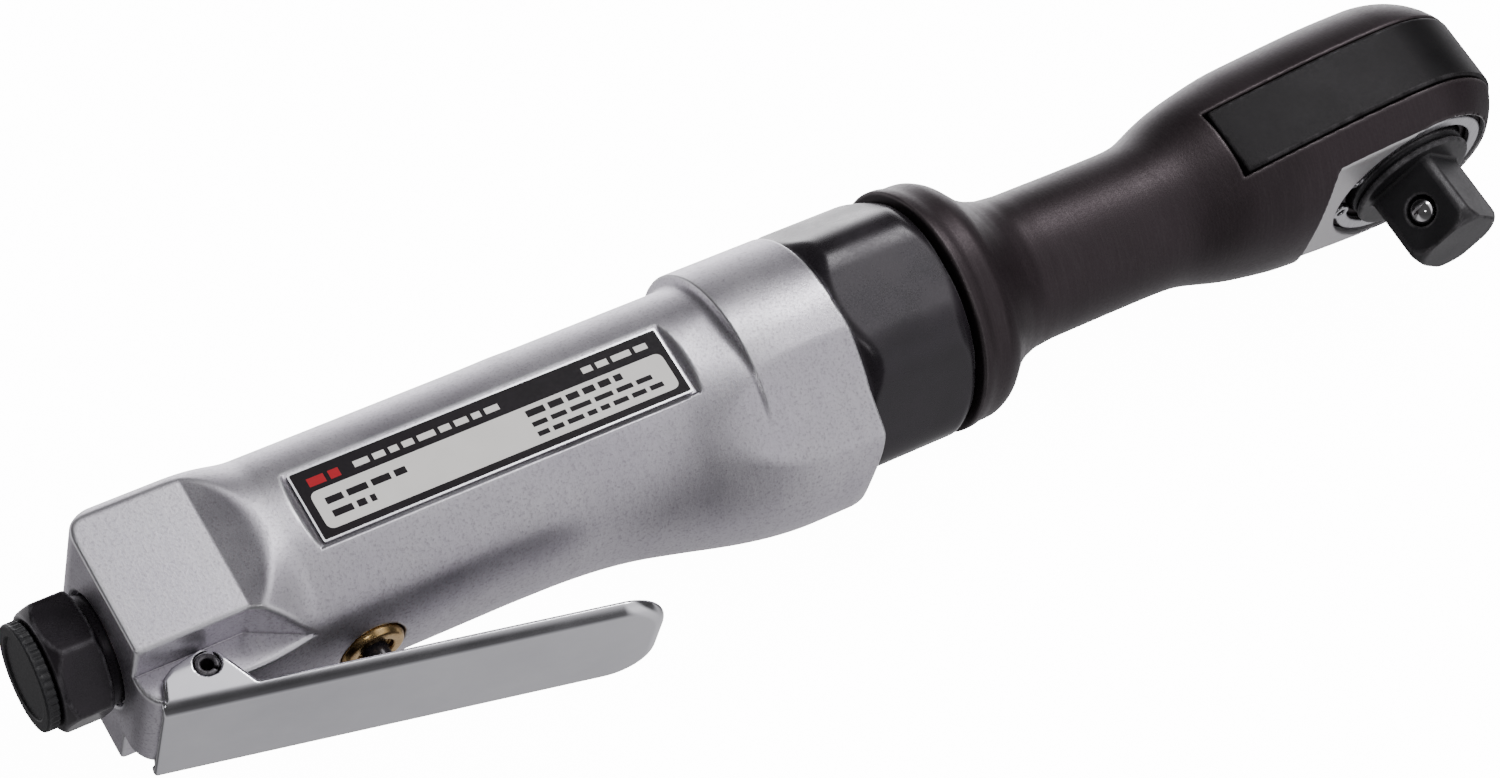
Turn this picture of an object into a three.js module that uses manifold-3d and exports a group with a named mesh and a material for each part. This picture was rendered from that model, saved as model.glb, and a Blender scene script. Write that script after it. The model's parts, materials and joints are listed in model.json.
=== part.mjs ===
// Air ratchet: a hand-held pneumatic wrench with a reciprocating ratchet head.
// Units are millimetres and +Z is up. The tool lies on its side, as it does on a bench.
// The tool axis runs along X from the air inlet (-X) to the ratchet head (+X).
// X = 0 and Z = 0 is the drive axis, the throttle lever and the square drive point to -Y,
// and the origin is the centre of the square drive's end face.
import * as THREE from 'three';
import { mergeVertices } from 'three/addons/utils/BufferGeometryUtils.js';
import Module from 'manifold-3d';

const wasm = await Module();
wasm.setup();

// ---- Driving dimensions ---------------------------------------------------------------

const DRIVE_REACH = 25.6;          // tool axis to the square drive's end face

// Air inlet
const PLUG_FRONT = -241.5;
const PLUG_RIM_REAR = -239.5;
const PLUG_RADIUS = 8.15;
const PLUG_RIBS = 36;
const PLUG_STEM_END = -234.5;
const PLUG_STEM_RADIUS = 5.3;
const INLET_FRONT = -239.2;
const INLET_HEX_REAR = -231.8;
const INLET_HEX_FLATS = 17.8;
const INLET_HEX_TURN = 47.4 * Math.PI / 180;
const INLET_COLLAR_RADIUS = 8.2;
const INLET_SHANK_END = -219.5;
const INLET_SHANK_RADIUS = 7.4;
const INLET_BORE_RADIUS = 5.7;
const INLET_THROAT_RADIUS = 3.9;
const INLET_BORE_END = -224;

// Motor housing: half sizes of the cross-section seen along the tool axis
const END_FACE = -230.4;
const END_COUNTERBORE_RADIUS = 8.7;
const HANDLE_BACK = 17.0;          // away from the lever
const HANDLE_BELLY = 16.3;         // towards the lever
const HANDLE_SIDE = 17.7;
const HANDLE_ROUNDNESS = 2.25;     // superellipse exponent
const BLOCK_BACK = 15.8;
const BLOCK_ROUNDNESS = 3.6;
const BLOCK_END = -213;
const HANDLE_START = -204;
const COLLAR_STEP_START = -131.8;
const COLLAR_STEP_END = -128.4;
const COLLAR_FRONT = -112.5;
const COLLAR_BACK = 19.6;
const COLLAR_SIDE = 19.5;
// The belly's swelling: a round bar about its own centre line, cut by two sloping side flats
const LOBE_START = -170;
const LOBE_CENTRE = { rear: 0, front: 5.6, ramp: [-162, -140] };
const LOBE_DEPTH = { rear: 15.6, front: 24.2, ramp: [-170, -122] };
const LOBE_FLAT = { rear: 17.4, front: 19.4, ramp: [-152, -132] };
const LOBE_FLAT_TILT = 29 * Math.PI / 180;
const PAD_LEVEL = 16.3;            // flats for the rear end's side pads
const PAD_RAMP_END = -206;
const LEVER_FLAT_LEVEL = 9.1;      // half width of the boss between the lever's ears
const LEVER_FLAT_TOP = 10.2;
const LEVER_FLAT_FRONT = -205;

// Nameplates
const PLATE_CLEARANCE = 0.3;
const PLATE_THICKNESS = 0.35;
const SIDE_PLATE = { start: -199.7, end: -138.5, level: 16.9, half: 5.9 };
const BACK_PLATE = { start: -164.7, end: -144.5, level: 16.35, half: 5.0 };

// Throttle
const LEVER_PIVOT = { x: -220.5, drop: 13.0 };
const LEVER_ANGLE = 11.6 * Math.PI / 180;
const LEVER_TIP = 67;              // pivot to the tip, along the lever
const LEVER_TAIL = 7.6;
const LEVER_FACE = 6.15;           // pivot to the lever's outer face
const LEVER_SHEET = 1.15;
const LEVER_HALF_WIDTH = 10.6;
const LEVER_PIN_RADIUS = 1.75;
const VALVE_X = -195;
const BUSHING_RADIUS = 4.95;
const BUSHING_FACE = 17.0;
const BUSHING_END = 10.0;
const PLUNGER_RADIUS = 2.0;
const PLUNGER_TIP = 22.7;
const PLUNGER_END = 1.0;
const SEAT_TOP = 2.4;
const SEAT_BOTTOM = 1.0;
const VALVE_HEAD_TOP = 0.7;
const VALVE_HEAD_BOTTOM = -1.5;
const VALVE_CHAMBER_END = -11.5;
const CHAMBER_RADIUS = 5.25;

// Air motor
const MOTOR_BORE_RADIUS = 14.8;
const MOTOR_BORE_REAR = -180;
const MOTOR_RADIUS = 14.5;
const CYLINDER_RADIUS = 11.6;
const CYLINDER_OFFSET = 0.6;
const CYLINDER_REAR = -171.4;
const CYLINDER_FRONT = -135.4;
const ROTOR_RADIUS = 10;
const JOURNAL_RADIUS = 3;
const VANE_COUNT = 4;
const VANE_THICKNESS = 1.4;
const VANE_SLOT = 1.7;
const VANE_ROOT = 5.3;
const SMALL_BEARING_RADIUS = 8;

// Planetary reduction: sun 12, planets 15, ring 42
const GEAR_MODULE = 0.56;
const SUN_TEETH = 12;
const PLANET_TEETH = 15;
const RING_TEETH = SUN_TEETH + 2 * PLANET_TEETH;
const PLANET_COUNT = 3;
const RING_GEAR_REAR = -125.7;
const RING_GEAR_FRONT = -87.1;
const RING_GEAR_RADIUS = 15.4;
const RING_GEAR_BORE = 13.1;
const GEAR_REAR = -121;
const GEAR_FRONT = -110;
const CARRIER_REAR = -108;
const CARRIER_FRONT = -102;
const CARRIER_RADIUS = 12.2;
const PLANET_PIN_RADIUS = 1.4;
const PLANET_PIN_SIDES = 12;

// Coupling nut
const NUT_REAR = -112.1;
const NUT_FRONT = -92.7;
const NUT_FLATS = 37;
const NUT_CORNER_RADIUS = 20.2;
const NUT_TURN = 8.5 * Math.PI / 180;
const NUT_CHAMFER = 2.6;

// Ratchet housing
const FLANGE_REAR = -92;
const FLANGE_RADIUS = 19.9;
const NECK_RADIUS = 12.05;
const SOCKET_RADIUS = 15.8;
const SOCKET_END = -85.9;
const NECK_BORE_RADIUS = 8.7;
const HEAD_RADIUS = 20.2;
const HEAD_BACK = 18.3;            // away from the square drive
const HEAD_FRONT = 15.65;          // towards the square drive
const HEAD_ROUNDNESS = 2.3;
const SLOT_REAR = -36;
const SLOT_HALF = 6.3;
const SPOTFACE_DEPTH = 11.5;
const SPOTFACE_RADIUS = 23.8;
const RING_RECESS_RADIUS = 14.2;
const RING_RECESS_DEPTH = 9.4;
const KNOB_RECESS_RADIUS = 11;
const KNOB_RECESS_DEPTH = 13.6;

// Crank and yoke
const CRANK_RADIUS = 6;
const CRANK_FRONT = -34.7;
const CRANK_THROW = 1.8;
const CRANK_PIN_RADIUS = 2.2;
const CRANK_PIN_END = -24.2;
const DRIVE_BUSHING_RADIUS = 3.6;
const YOKE_RADIUS = 19.3;
const YOKE_HALF = 6.0;
const YOKE_TAIL = -34;
const YOKE_TAIL_HALF = 12.4;
const YOKE_FORK_HALF = 7.7;
const YOKE_FORK_END = -22;
const YOKE_BORE = 12.3;
const YOKE_TEETH = 30;
const YOKE_TOOTH_DEPTH = 0.9;

// Anvil
const ANVIL_BODY_RADIUS = 11.7;
const SHOULDER_RADIUS = 10.6;
const SHOULDER_FACE = 12.7;
const SQUARE = 12.7;
const SQUARE_CORNER_RADIUS = 8.3;
const DRIVE_TURN = 9 * Math.PI / 180;
const JOURNAL_TOP = 13.3;
const ANVIL_JOURNAL_RADIUS = 8;
const KNOB_RADIUS = 10.3;
const KNOB_TOP = 15.4;
const STEM_RADIUS = 2.6;
const PAWL_PIVOT = 5.6;
const PAWL_PLUNGER_RADIUS = 1.1;
const DETENT_DEPTH = 19.3;
const DETENT_RADIUS = 2.4;

// ---- Materials ------------------------------------------------------------------------

const ALUMINIUM = { color: 0xb9b8bd, roughness: 0.42, metalness: 0.9 };
const BLACK_STEEL = { color: 0x26232a, roughness: 0.3, metalness: 0.8 };
const BROWNED_STEEL = { color: 0x352d31, roughness: 0.4, metalness: 0.8 };
const BRIGHT_STEEL = { color: 0xc4c4c8, roughness: 0.2, metalness: 1 };
const CHROME = { color: 0xd8d8dc, roughness: 0.1, metalness: 1 };
const BRASS = { color: 0xb08a4a, roughness: 0.3, metalness: 1 };
const BRONZE = { color: 0x9a6b3c, roughness: 0.45, metalness: 0.9 };
const BLACK_PLASTIC = { color: 0x1b1a1c, roughness: 0.5, metalness: 0 };
const RUBBER = { color: 0x151515, roughness: 0.8, metalness: 0 };
const RESIN = { color: 0x7a5a38, roughness: 0.6, metalness: 0 };
const FELT = { color: 0x8b8780, roughness: 0.95, metalness: 0 };
const LABEL = { color: 0xd5d3cc, roughness: 0.5, metalness: 0 };

// ---- Geometry helpers -----------------------------------------------------------------

// A closed geometry with merged corners and its faces pointing out.
function closed(geometry) {
  const bare = geometry.index ? geometry.clone() : geometry.clone();
  bare.deleteAttribute('normal');
  bare.deleteAttribute('uv');
  const merged = mergeVertices(bare, 1e-4);
  const at = merged.attributes.position;
  const index = merged.index.array;
  const corners = [new THREE.Vector3(), new THREE.Vector3(), new THREE.Vector3()];
  const faces = [];
  let volume = 0;
  for (let i = 0; i < index.length; i += 3) {
    const face = [index[i], index[i + 1], index[i + 2]];
    if (new Set(face).size < 3) continue;
    face.forEach((vertex, k) => corners[k].fromBufferAttribute(at, vertex));
    volume += corners[0].dot(corners[1].clone().cross(corners[2]));
    faces.push(...face);
  }
  if (volume < 0) faces.reverse();
  merged.setIndex(faces);
  return merged;
}

function solid(geometry) {
  const shape = closed(geometry);
  return new wasm.Manifold(new wasm.Mesh({
    numProp: 3,
    vertProperties: new Float32Array(shape.attributes.position.array),
    triVerts: new Uint32Array(shape.index.array),
  }));
}

function toGeometry(manifold) {
  const result = manifold.getMesh();
  const geometry = new THREE.BufferGeometry();
  geometry.setAttribute('position', new THREE.BufferAttribute(result.vertProperties, 3));
  geometry.setIndex(new THREE.BufferAttribute(result.triVerts, 1));
  return geometry;
}

function cut(base, ...tools) {
  return tools.reduce((rest, tool) => rest.subtract(tool), base);
}

function join(base, ...others) {
  return others.reduce((all, other) => all.add(other), base);
}

// A solid of revolution about X from a profile of [x, radius] points.
function turnedX(profile, sides = 32, turn = 0) {
  const points = profile.map(([x, radius]) => new THREE.Vector2(radius, x));
  const geometry = new THREE.LatheGeometry(points, sides);
  geometry.rotateY(turn);
  geometry.rotateZ(-Math.PI / 2);
  return geometry;
}

// A disc or rod about X, or a tube when it has an inner radius.
function barX(x0, x1, radius, inner = 0, sides = 32, turn = 0) {
  if (inner === 0) return turnedX([[x0, 0], [x0, radius], [x1, radius], [x1, 0]], sides, turn);
  const section = [[x0, inner], [x0, radius], [x1, radius], [x1, inner], [x0, inner]];
  return turnedX(section, sides, turn);
}

// The same about the Y direction through (x, z); y0 and y1 are distances towards the lever.
function turnedY(profile, x = 0, z = 0, sides = 32) {
  const points = profile.map(([drop, radius]) => new THREE.Vector2(radius, -drop));
  const geometry = new THREE.LatheGeometry(points, sides);
  geometry.translate(x, 0, z);
  return geometry;
}

function barY(drop0, drop1, radius, inner = 0, x = 0, z = 0, sides = 32) {
  if (inner === 0) {
    return turnedY([[drop0, 0], [drop0, radius], [drop1, radius], [drop1, 0]], x, z, sides);
  }
  const section = [[drop0, inner], [drop0, radius], [drop1, radius], [drop1, inner], [drop0, inner]];
  return turnedY(section, x, z, sides);
}

function barZ(z0, z1, radius, x, y, sides = 16) {
  const geometry = new THREE.CylinderGeometry(radius, radius, z1 - z0, sides);
  geometry.rotateX(Math.PI / 2);
  geometry.translate(x, y, (z0 + z1) / 2);
  return geometry;
}

function box(x0, x1, y0, y1, z0, z1) {
  const geometry = new THREE.BoxGeometry(x1 - x0, y1 - y0, z1 - z0);
  geometry.translate((x0 + x1) / 2, (y0 + y1) / 2, (z0 + z1) / 2);
  return geometry;
}

function flatShape(points) {
  return new THREE.Shape(points.map(([a, b]) => new THREE.Vector2(a, b)));
}

// A shape drawn in X and Y, standing up from z0 to z1.
function platedZ(shape, z0, z1, curveSegments = 8) {
  const geometry = new THREE.ExtrudeGeometry(shape, {
    depth: z1 - z0, bevelEnabled: false, curveSegments,
  });
  geometry.translate(0, 0, z0);
  return geometry;
}

// A shape drawn in X and Z, reaching from y0 to y1.
function platedY(shape, y0, y1, curveSegments = 8) {
  const geometry = new THREE.ExtrudeGeometry(shape, {
    depth: y1 - y0, bevelEnabled: false, curveSegments,
  });
  geometry.rotateX(Math.PI / 2);
  geometry.translate(0, y1, 0);
  return geometry;
}

// A shape drawn across the tool axis, reaching from x0 to x1.
function platedX(shape, x0, x1, curveSegments = 8) {
  const geometry = new THREE.ExtrudeGeometry(shape, {
    depth: x1 - x0, bevelEnabled: false, curveSegments,
  });
  geometry.rotateY(Math.PI / 2);
  geometry.rotateX(Math.PI / 2);
  geometry.translate(x0, 0, 0);
  return geometry;
}

function smooth(start, end, value) {
  return THREE.MathUtils.smoothstep(value, start, end);
}

function blend(from, to, amount) {
  return from + (to - from) * amount;
}

// Stations from start to end, closer together near both ends.
function stations(start, end, count) {
  const list = [];
  for (let i = 0; i <= count; i += 1) {
    list.push(blend(start, end, (1 - Math.cos(Math.PI * i / count)) / 2));
  }
  return list;
}

// A closed skin through superellipse sections { x, back, belly, side, roundness }.
// 'belly' is the half size towards -Y, 'back' towards +Y and 'side' towards +-Z.
function loft(sections, sides = 40) {
  const positions = [];
  const index = [];
  for (const { x, back, belly, side, roundness } of sections) {
    for (let k = 0; k < sides; k += 1) {
      const angle = 2 * Math.PI * k / sides;
      const c = Math.cos(angle);
      const s = Math.sin(angle);
      const reach = Math.abs(c) ** (2 / roundness);
      const rise = Math.abs(s) ** (2 / roundness);
      positions.push(x, c > 0 ? -belly * reach : back * reach, Math.sign(s) * side * rise);
    }
  }
  const last = sections.length - 1;
  for (let i = 0; i < last; i += 1) {
    for (let k = 0; k < sides; k += 1) {
      const here = i * sides + k;
      const next = i * sides + (k + 1) % sides;
      index.push(here, next, here + sides, next, next + sides, here + sides);
    }
  }
  positions.push(sections[0].x, 0, 0, sections[last].x, 0, 0);
  const first = sections.length * sides;
  for (let k = 0; k < sides; k += 1) {
    const next = (k + 1) % sides;
    index.push(first, next, k, first + 1, last * sides + k, last * sides + next);
  }
  const geometry = new THREE.BufferGeometry();
  geometry.setAttribute('position', new THREE.Float32BufferAttribute(positions, 3));
  geometry.setIndex(index);
  return geometry;
}

// A regular polygon by its width across flats, its corners cut to a radius.
function hexagon(flats, cornerRadius, turn) {
  const shape = new THREE.Shape();
  const halfFlat = Math.acos(flats / 2 / cornerRadius);
  for (let k = 0; k < 6; k += 1) {
    const middle = turn + (k + 0.5) * Math.PI / 3;
    for (const angle of [middle - halfFlat, middle + halfFlat]) {
      const x = cornerRadius * Math.cos(angle);
      const y = cornerRadius * Math.sin(angle);
      if (shape.curves.length === 0 && shape.currentPoint.length() === 0) shape.moveTo(x, y);
      else shape.lineTo(x, y);
    }
  }
  shape.closePath();
  return shape;
}

// Straight-sided gear teeth: a tooth is centred on angle 'turn'.
function toothOutline(teeth, module, addendum, dedendum, width, turn = 0) {
  const pitchRadius = teeth * module / 2;
  const outer = pitchRadius + addendum * module;
  const root = pitchRadius - dedendum * module;
  const step = 2 * Math.PI / teeth;
  const points = [];
  for (let k = 0; k < teeth; k += 1) {
    const middle = turn + k * step;
    const corners = [
      [root, -width - 0.1], [outer, -width + 0.12], [outer, width - 0.12], [root, width + 0.1],
    ];
    for (const [radius, share] of corners) {
      const angle = middle + share * step;
      points.push([radius * Math.cos(angle), radius * Math.sin(angle)]);
    }
  }
  return points;
}

const group = new THREE.Group();
group.position.y = DRIVE_REACH;

function place(name, shape, finish) {
  const geometry = closed(shape.getMesh ? toGeometry(shape) : shape);
  geometry.computeVertexNormals();
  const mesh = new THREE.Mesh(geometry, new THREE.MeshStandardMaterial(finish));
  mesh.name = name;
  group.add(mesh);
  return mesh;
}

// ---- Motor housing --------------------------------------------------------------------

function handleSection(x) {
  const block = 1 - smooth(BLOCK_END, HANDLE_START, x);
  const collar = smooth(COLLAR_STEP_START, COLLAR_STEP_END, x);
  const endRound = 1 - Math.sqrt(1 - (1 - Math.min((x - END_FACE) / 4.5, 1)) ** 2);
  const frontRound = 0.8 * smooth(COLLAR_FRONT - 0.9, COLLAR_FRONT, x);
  return {
    x,
    back: blend(blend(HANDLE_BACK, BLOCK_BACK, block), COLLAR_BACK, collar) - 4.8 * endRound - frontRound,
    belly: blend(HANDLE_BELLY, COLLAR_SIDE, collar) - 3.2 * endRound - frontRound,
    side: blend(blend(HANDLE_SIDE, 18.4, block), COLLAR_SIDE, collar) - frontRound,
    roundness: blend(blend(HANDLE_ROUNDNESS, BLOCK_ROUNDNESS, block), 2, collar),
  };
}

function ramped({ rear, front, ramp }, x) {
  return blend(rear, front, smooth(...ramp, x));
}

function lobeRadius(x) {
  const frontRound = 1.8 * smooth(COLLAR_FRONT - 3, COLLAR_FRONT, x);
  return ramped(LOBE_DEPTH, x) - ramped(LOBE_CENTRE, x) - frontRound;
}

// The swelling under the front of the handle: round sections, each about its own centre.
function lobeBar(steps) {
  const unitRounds = steps.map((x) => ({ x, back: 1, belly: 1, side: 1, roundness: 2 }));
  const geometry = loft(unitRounds, 40);
  const at = geometry.attributes.position;
  for (let i = 0; i < at.count; i += 1) {
    const x = at.getX(i);
    at.setY(i, at.getY(i) * lobeRadius(x) - ramped(LOBE_CENTRE, x));
    at.setZ(i, at.getZ(i) * lobeRadius(x));
  }
  return solid(geometry);
}

// The space between the lobe's two side flats, which lean towards each other below.
function lobeWedge(steps) {
  const high = 15;
  const low = -34;
  const positions = [];
  const index = [];
  for (const x of steps) {
    const flat = ramped(LOBE_FLAT, x);
    const halfAt = (y) => (flat + y * Math.sin(LOBE_FLAT_TILT)) / Math.cos(LOBE_FLAT_TILT);
    positions.push(x, high, halfAt(high), x, low, halfAt(low), x, low, -halfAt(low), x, high, -halfAt(high));
  }
  const last = steps.length - 1;
  for (let i = 0; i < last; i += 1) {
    for (let k = 0; k < 4; k += 1) {
      const here = 4 * i + k;
      const next = 4 * i + (k + 1) % 4;
      index.push(here, next, here + 4, next, next + 4, here + 4);
    }
  }
  index.push(0, 2, 1, 0, 3, 2, 4 * last, 4 * last + 1, 4 * last + 2, 4 * last, 4 * last + 2, 4 * last + 3);
  const geometry = new THREE.BufferGeometry();
  geometry.setAttribute('position', new THREE.Float32BufferAttribute(positions, 3));
  geometry.setIndex(index);
  return solid(geometry);
}

function housingBody() {
  const steps = [
    ...stations(END_FACE, END_FACE + 9, 4),
    ...stations(BLOCK_END, HANDLE_START, 3),
    ...stations(COLLAR_STEP_START, COLLAR_STEP_END, 5),
    COLLAR_FRONT - 0.9,
    COLLAR_FRONT - 0.4,
    COLLAR_FRONT,
  ];
  const lobeSteps = [
    ...stations(LOBE_START, COLLAR_FRONT - 8, 9),
    ...stations(COLLAR_FRONT - 3, COLLAR_FRONT, 3),
  ];
  const lobe = lobeBar(lobeSteps).intersect(lobeWedge(lobeSteps));
  return join(solid(loft(steps.map(handleSection), 40)), lobe);
}

// Side pads and the flats that the lever's ears run on, mirrored to both sides.
function housingFlats() {
  const tools = [];
  for (const side of [1, -1]) {
    const wedge = flatShape([
      [END_FACE - 2, PAD_LEVEL * side],
      [BLOCK_END, PAD_LEVEL * side],
      [PAD_RAMP_END, (PAD_LEVEL + 1.8) * side],
      [PAD_RAMP_END, (PAD_LEVEL + 6) * side],
      [END_FACE - 2, (PAD_LEVEL + 6) * side],
    ]);
    tools.push(solid(platedY(wedge, -30, 30)));
    const low = side > 0 ? LEVER_FLAT_LEVEL : -30;
    const high = side > 0 ? 30 : -LEVER_FLAT_LEVEL;
    const earFlat = box(END_FACE - 2, LEVER_FLAT_FRONT - 8, -30, -LEVER_FLAT_TOP, low, high);
    tools.push(solid(earFlat));
    const runOut = flatShape([
      [LEVER_FLAT_FRONT - 8.5, -LEVER_FLAT_TOP],
      [LEVER_FLAT_FRONT, -LEVER_FLAT_TOP - 4.5],
      [LEVER_FLAT_FRONT, -30],
      [LEVER_FLAT_FRONT - 8.5, -30],
    ]);
    tools.push(solid(platedZ(runOut, low, high)));
  }
  return tools;
}

// A milled recess with sloping ends: plates lie in it. Drawn in X and height above the axis.
function plateRecess({ start, end, level }) {
  const floor = level - PLATE_CLEARANCE;
  return flatShape([
    [start - 2.3, floor + 2.2],
    [start - 0.1, floor],
    [end + 0.1, floor],
    [end + 2.3, floor + 2.2],
  ]);
}

// Part of a ring on the belly side, where the exhaust runs between the motor and the skin.
function ringSector(inner, outer, halfAngle) {
  const shape = new THREE.Shape();
  shape.absarc(0, 0, outer, Math.PI - halfAngle, Math.PI + halfAngle, false);
  shape.absarc(0, 0, inner, Math.PI + halfAngle, Math.PI - halfAngle, true);
  shape.closePath();
  return shape;
}

function motorHousing() {
  const sideRecess = platedY(plateRecess(SIDE_PLATE), -SIDE_PLATE.half - 0.4, SIDE_PLATE.half + 0.4);
  const backRecess = platedZ(plateRecess(BACK_PLATE), -BACK_PLATE.half - 0.4, BACK_PLATE.half + 0.4);
  return cut(
    housingBody(),
    ...housingFlats(),
    solid(sideRecess),
    solid(backRecess),
    solid(barX(END_FACE - 1, END_FACE + 1.2, END_COUNTERBORE_RADIUS)),
    solid(barX(END_FACE, INLET_SHANK_END, INLET_SHANK_RADIUS + 0.3)),
    solid(barX(INLET_SHANK_END - 0.5, VALVE_X, 3.6).translate(0, 3, 0)),
    solid(barX(VALVE_X, MOTOR_BORE_REAR + 0.5, 2.6).translate(0, -6.2, 0)),
    solid(barY(VALVE_CHAMBER_END, 30, CHAMBER_RADIUS, 0, VALVE_X)),
    solid(barZ(-30, 30, LEVER_PIN_RADIUS + 0.15, LEVER_PIVOT.x, -LEVER_PIVOT.drop)),
    solid(barX(MOTOR_BORE_REAR, COLLAR_FRONT + 1, MOTOR_BORE_RADIUS, 0, 40)),
    solid(barX(RING_GEAR_REAR - 0.4, COLLAR_FRONT + 1, RING_GEAR_RADIUS + 0.4, 0, 40)),
    solid(platedX(ringSector(14, 20, 0.42), -139, -117)),
    solid(platedX(ringSector(21, 22.4, 0.22), -118, COLLAR_FRONT + 1)),
    solid(platedX(ringSector(19, 22.4, 0.22), -121, -117.5)),
  );
}

place('motor_housing', motorHousing(), ALUMINIUM);

function sidePlate() {
  const { start, end, level, half } = SIDE_PLATE;
  return box(start + 0.3, end - 0.3, -half, half, level, level + PLATE_THICKNESS);
}

function backPlate() {
  const { start, end, level, half } = BACK_PLATE;
  return box(start + 0.3, end - 0.3, level, level + PLATE_THICKNESS, -half, half);
}

place('side_nameplate', sidePlate(), LABEL);
place('back_nameplate', backPlate(), LABEL);

// ---- Air inlet ------------------------------------------------------------------------

function inletBushing() {
  const corner = INLET_HEX_FLATS / 2 / Math.cos(Math.PI / 6) - 0.05;
  const hex = solid(platedX(hexagon(INLET_HEX_FLATS, corner, INLET_HEX_TURN), INLET_FRONT, INLET_HEX_REAR));
  const chamfers = solid(turnedX([
    [INLET_FRONT - 0.01, 0], [INLET_FRONT - 0.01, 8.6], [INLET_FRONT + 1.6, corner + 0.2],
    [INLET_HEX_REAR - 0.6, corner + 0.2], [INLET_HEX_REAR + 0.01, 9.2], [INLET_HEX_REAR + 0.01, 0],
  ]));
  const body = join(
    hex.intersect(chamfers),
    solid(barX(INLET_HEX_REAR - 1, END_FACE + 0.9, INLET_COLLAR_RADIUS)),
    solid(barX(END_FACE, INLET_SHANK_END - 0.4, INLET_SHANK_RADIUS)),
  );
  return cut(
    body,
    solid(barX(INLET_FRONT - 1, INLET_BORE_END, INLET_BORE_RADIUS)),
    solid(barX(INLET_BORE_END - 1, INLET_SHANK_END + 1, INLET_THROAT_RADIUS)),
  );
}

function inletScreen() {
  const rear = INLET_BORE_END - 0.4;
  return turnedX([
    [rear - 1, 4.0], [rear - 1, 5.3], [rear, 5.3], [rear, 3.5], [rear + 3.4, 3.1],
    [rear + 3.4, 0], [rear + 2.9, 0], [rear + 2.9, 2.6], [rear - 0.5, 3.0], [rear - 1, 4.0],
  ], 20);
}

function inletPlug() {
  const shape = new THREE.Shape();
  const steps = PLUG_RIBS * 2;
  for (let k = 0; k < steps; k += 1) {
    const radius = PLUG_RADIUS - (k % 2) * 0.3;
    const angle = 2 * Math.PI * k / steps;
    if (k === 0) shape.moveTo(radius, 0);
    else shape.lineTo(radius * Math.cos(angle), radius * Math.sin(angle));
  }
  shape.closePath();
  return join(
    solid(platedX(shape, PLUG_FRONT + 0.5, PLUG_RIM_REAR)),
    solid(turnedX([
      [PLUG_FRONT, 0], [PLUG_FRONT, PLUG_RADIUS - 0.9], [PLUG_FRONT + 0.6, PLUG_RADIUS - 0.3],
      [PLUG_FRONT + 0.6, 0],
    ])),
    solid(barX(PLUG_RIM_REAR - 0.5, PLUG_STEM_END, PLUG_STEM_RADIUS, 0, 24)),
  );
}

place('inlet_bushing', inletBushing(), BLACK_STEEL);
place('inlet_screen', inletScreen(), BRASS);
place('inlet_plug', inletPlug(), BLACK_PLASTIC);

// ---- Throttle -------------------------------------------------------------------------

// The lever is drawn about its pivot with its face level, then opened by LEVER_ANGLE.
function throttleLever() {
  const tipRadius = 7.5;
  const outline = new THREE.Shape();
  outline.moveTo(-LEVER_TAIL, -LEVER_HALF_WIDTH);
  outline.lineTo(LEVER_TIP - tipRadius, -LEVER_HALF_WIDTH);
  outline.absarc(LEVER_TIP - tipRadius, -LEVER_HALF_WIDTH + tipRadius, tipRadius, -Math.PI / 2, 0, false);
  outline.absarc(LEVER_TIP - tipRadius, LEVER_HALF_WIDTH - tipRadius, tipRadius, 0, Math.PI / 2, false);
  outline.lineTo(-LEVER_TAIL, LEVER_HALF_WIDTH);
  outline.closePath();
  let lever = solid(platedY(outline, -LEVER_FACE, -LEVER_FACE + LEVER_SHEET));
  const ear = new THREE.Shape();
  ear.moveTo(-LEVER_TAIL, -LEVER_FACE);
  ear.lineTo(-6.6, -0.2);
  ear.absarc(-5.4, 0.5, 1.2, Math.PI, Math.PI / 2, true);
  ear.lineTo(0, 2.5);
  ear.absarc(0, 0, 2.5, Math.PI / 2, 0.2, true);
  ear.lineTo(4.8, -LEVER_FACE + 2.4);
  ear.lineTo(7, -LEVER_FACE);
  ear.closePath();
  for (const inner of [LEVER_HALF_WIDTH - LEVER_SHEET, -LEVER_HALF_WIDTH]) {
    lever = lever.add(solid(platedZ(ear, inner, inner + LEVER_SHEET)));
  }
  lever = cut(lever, solid(barZ(-20, 20, LEVER_PIN_RADIUS + 0.2, 0, 0)));
  const geometry = toGeometry(lever);
  geometry.rotateZ(-LEVER_ANGLE);
  geometry.translate(LEVER_PIVOT.x, -LEVER_PIVOT.drop, 0);
  return geometry;
}

function valveSpring() {
  return barY(VALVE_CHAMBER_END + 0.4, VALVE_HEAD_BOTTOM - 0.35, 3.6, 2.4, VALVE_X, 0, 20);
}

function throttleValve() {
  return turnedY([
    [VALVE_HEAD_TOP, 0], [VALVE_HEAD_TOP, 3.2], [VALVE_HEAD_TOP - 1, 4.4],
    [VALVE_HEAD_BOTTOM, 4.4], [VALVE_HEAD_BOTTOM, 1.5], [-6, 1.5], [-6, 0],
  ], VALVE_X, 0, 24);
}

function throttleBushing() {
  return turnedY([
    [BUSHING_FACE, PLUNGER_RADIUS + 0.15], [BUSHING_FACE, BUSHING_RADIUS - 0.5],
    [BUSHING_FACE - 0.5, BUSHING_RADIUS], [BUSHING_END, BUSHING_RADIUS],
    [BUSHING_END, 3.6], [BUSHING_END + 2.2, 3.6],
    [BUSHING_END + 2.2, PLUNGER_RADIUS + 0.15], [BUSHING_FACE, PLUNGER_RADIUS + 0.15],
  ], VALVE_X, 0, 28);
}

function throttlePlunger() {
  return turnedY([
    [PLUNGER_TIP, 0], [PLUNGER_TIP - 0.3, 1.2], [PLUNGER_TIP - 1.1, PLUNGER_RADIUS],
    [PLUNGER_END, PLUNGER_RADIUS], [PLUNGER_END, 0],
  ], VALVE_X, 0, 28);
}

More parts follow.
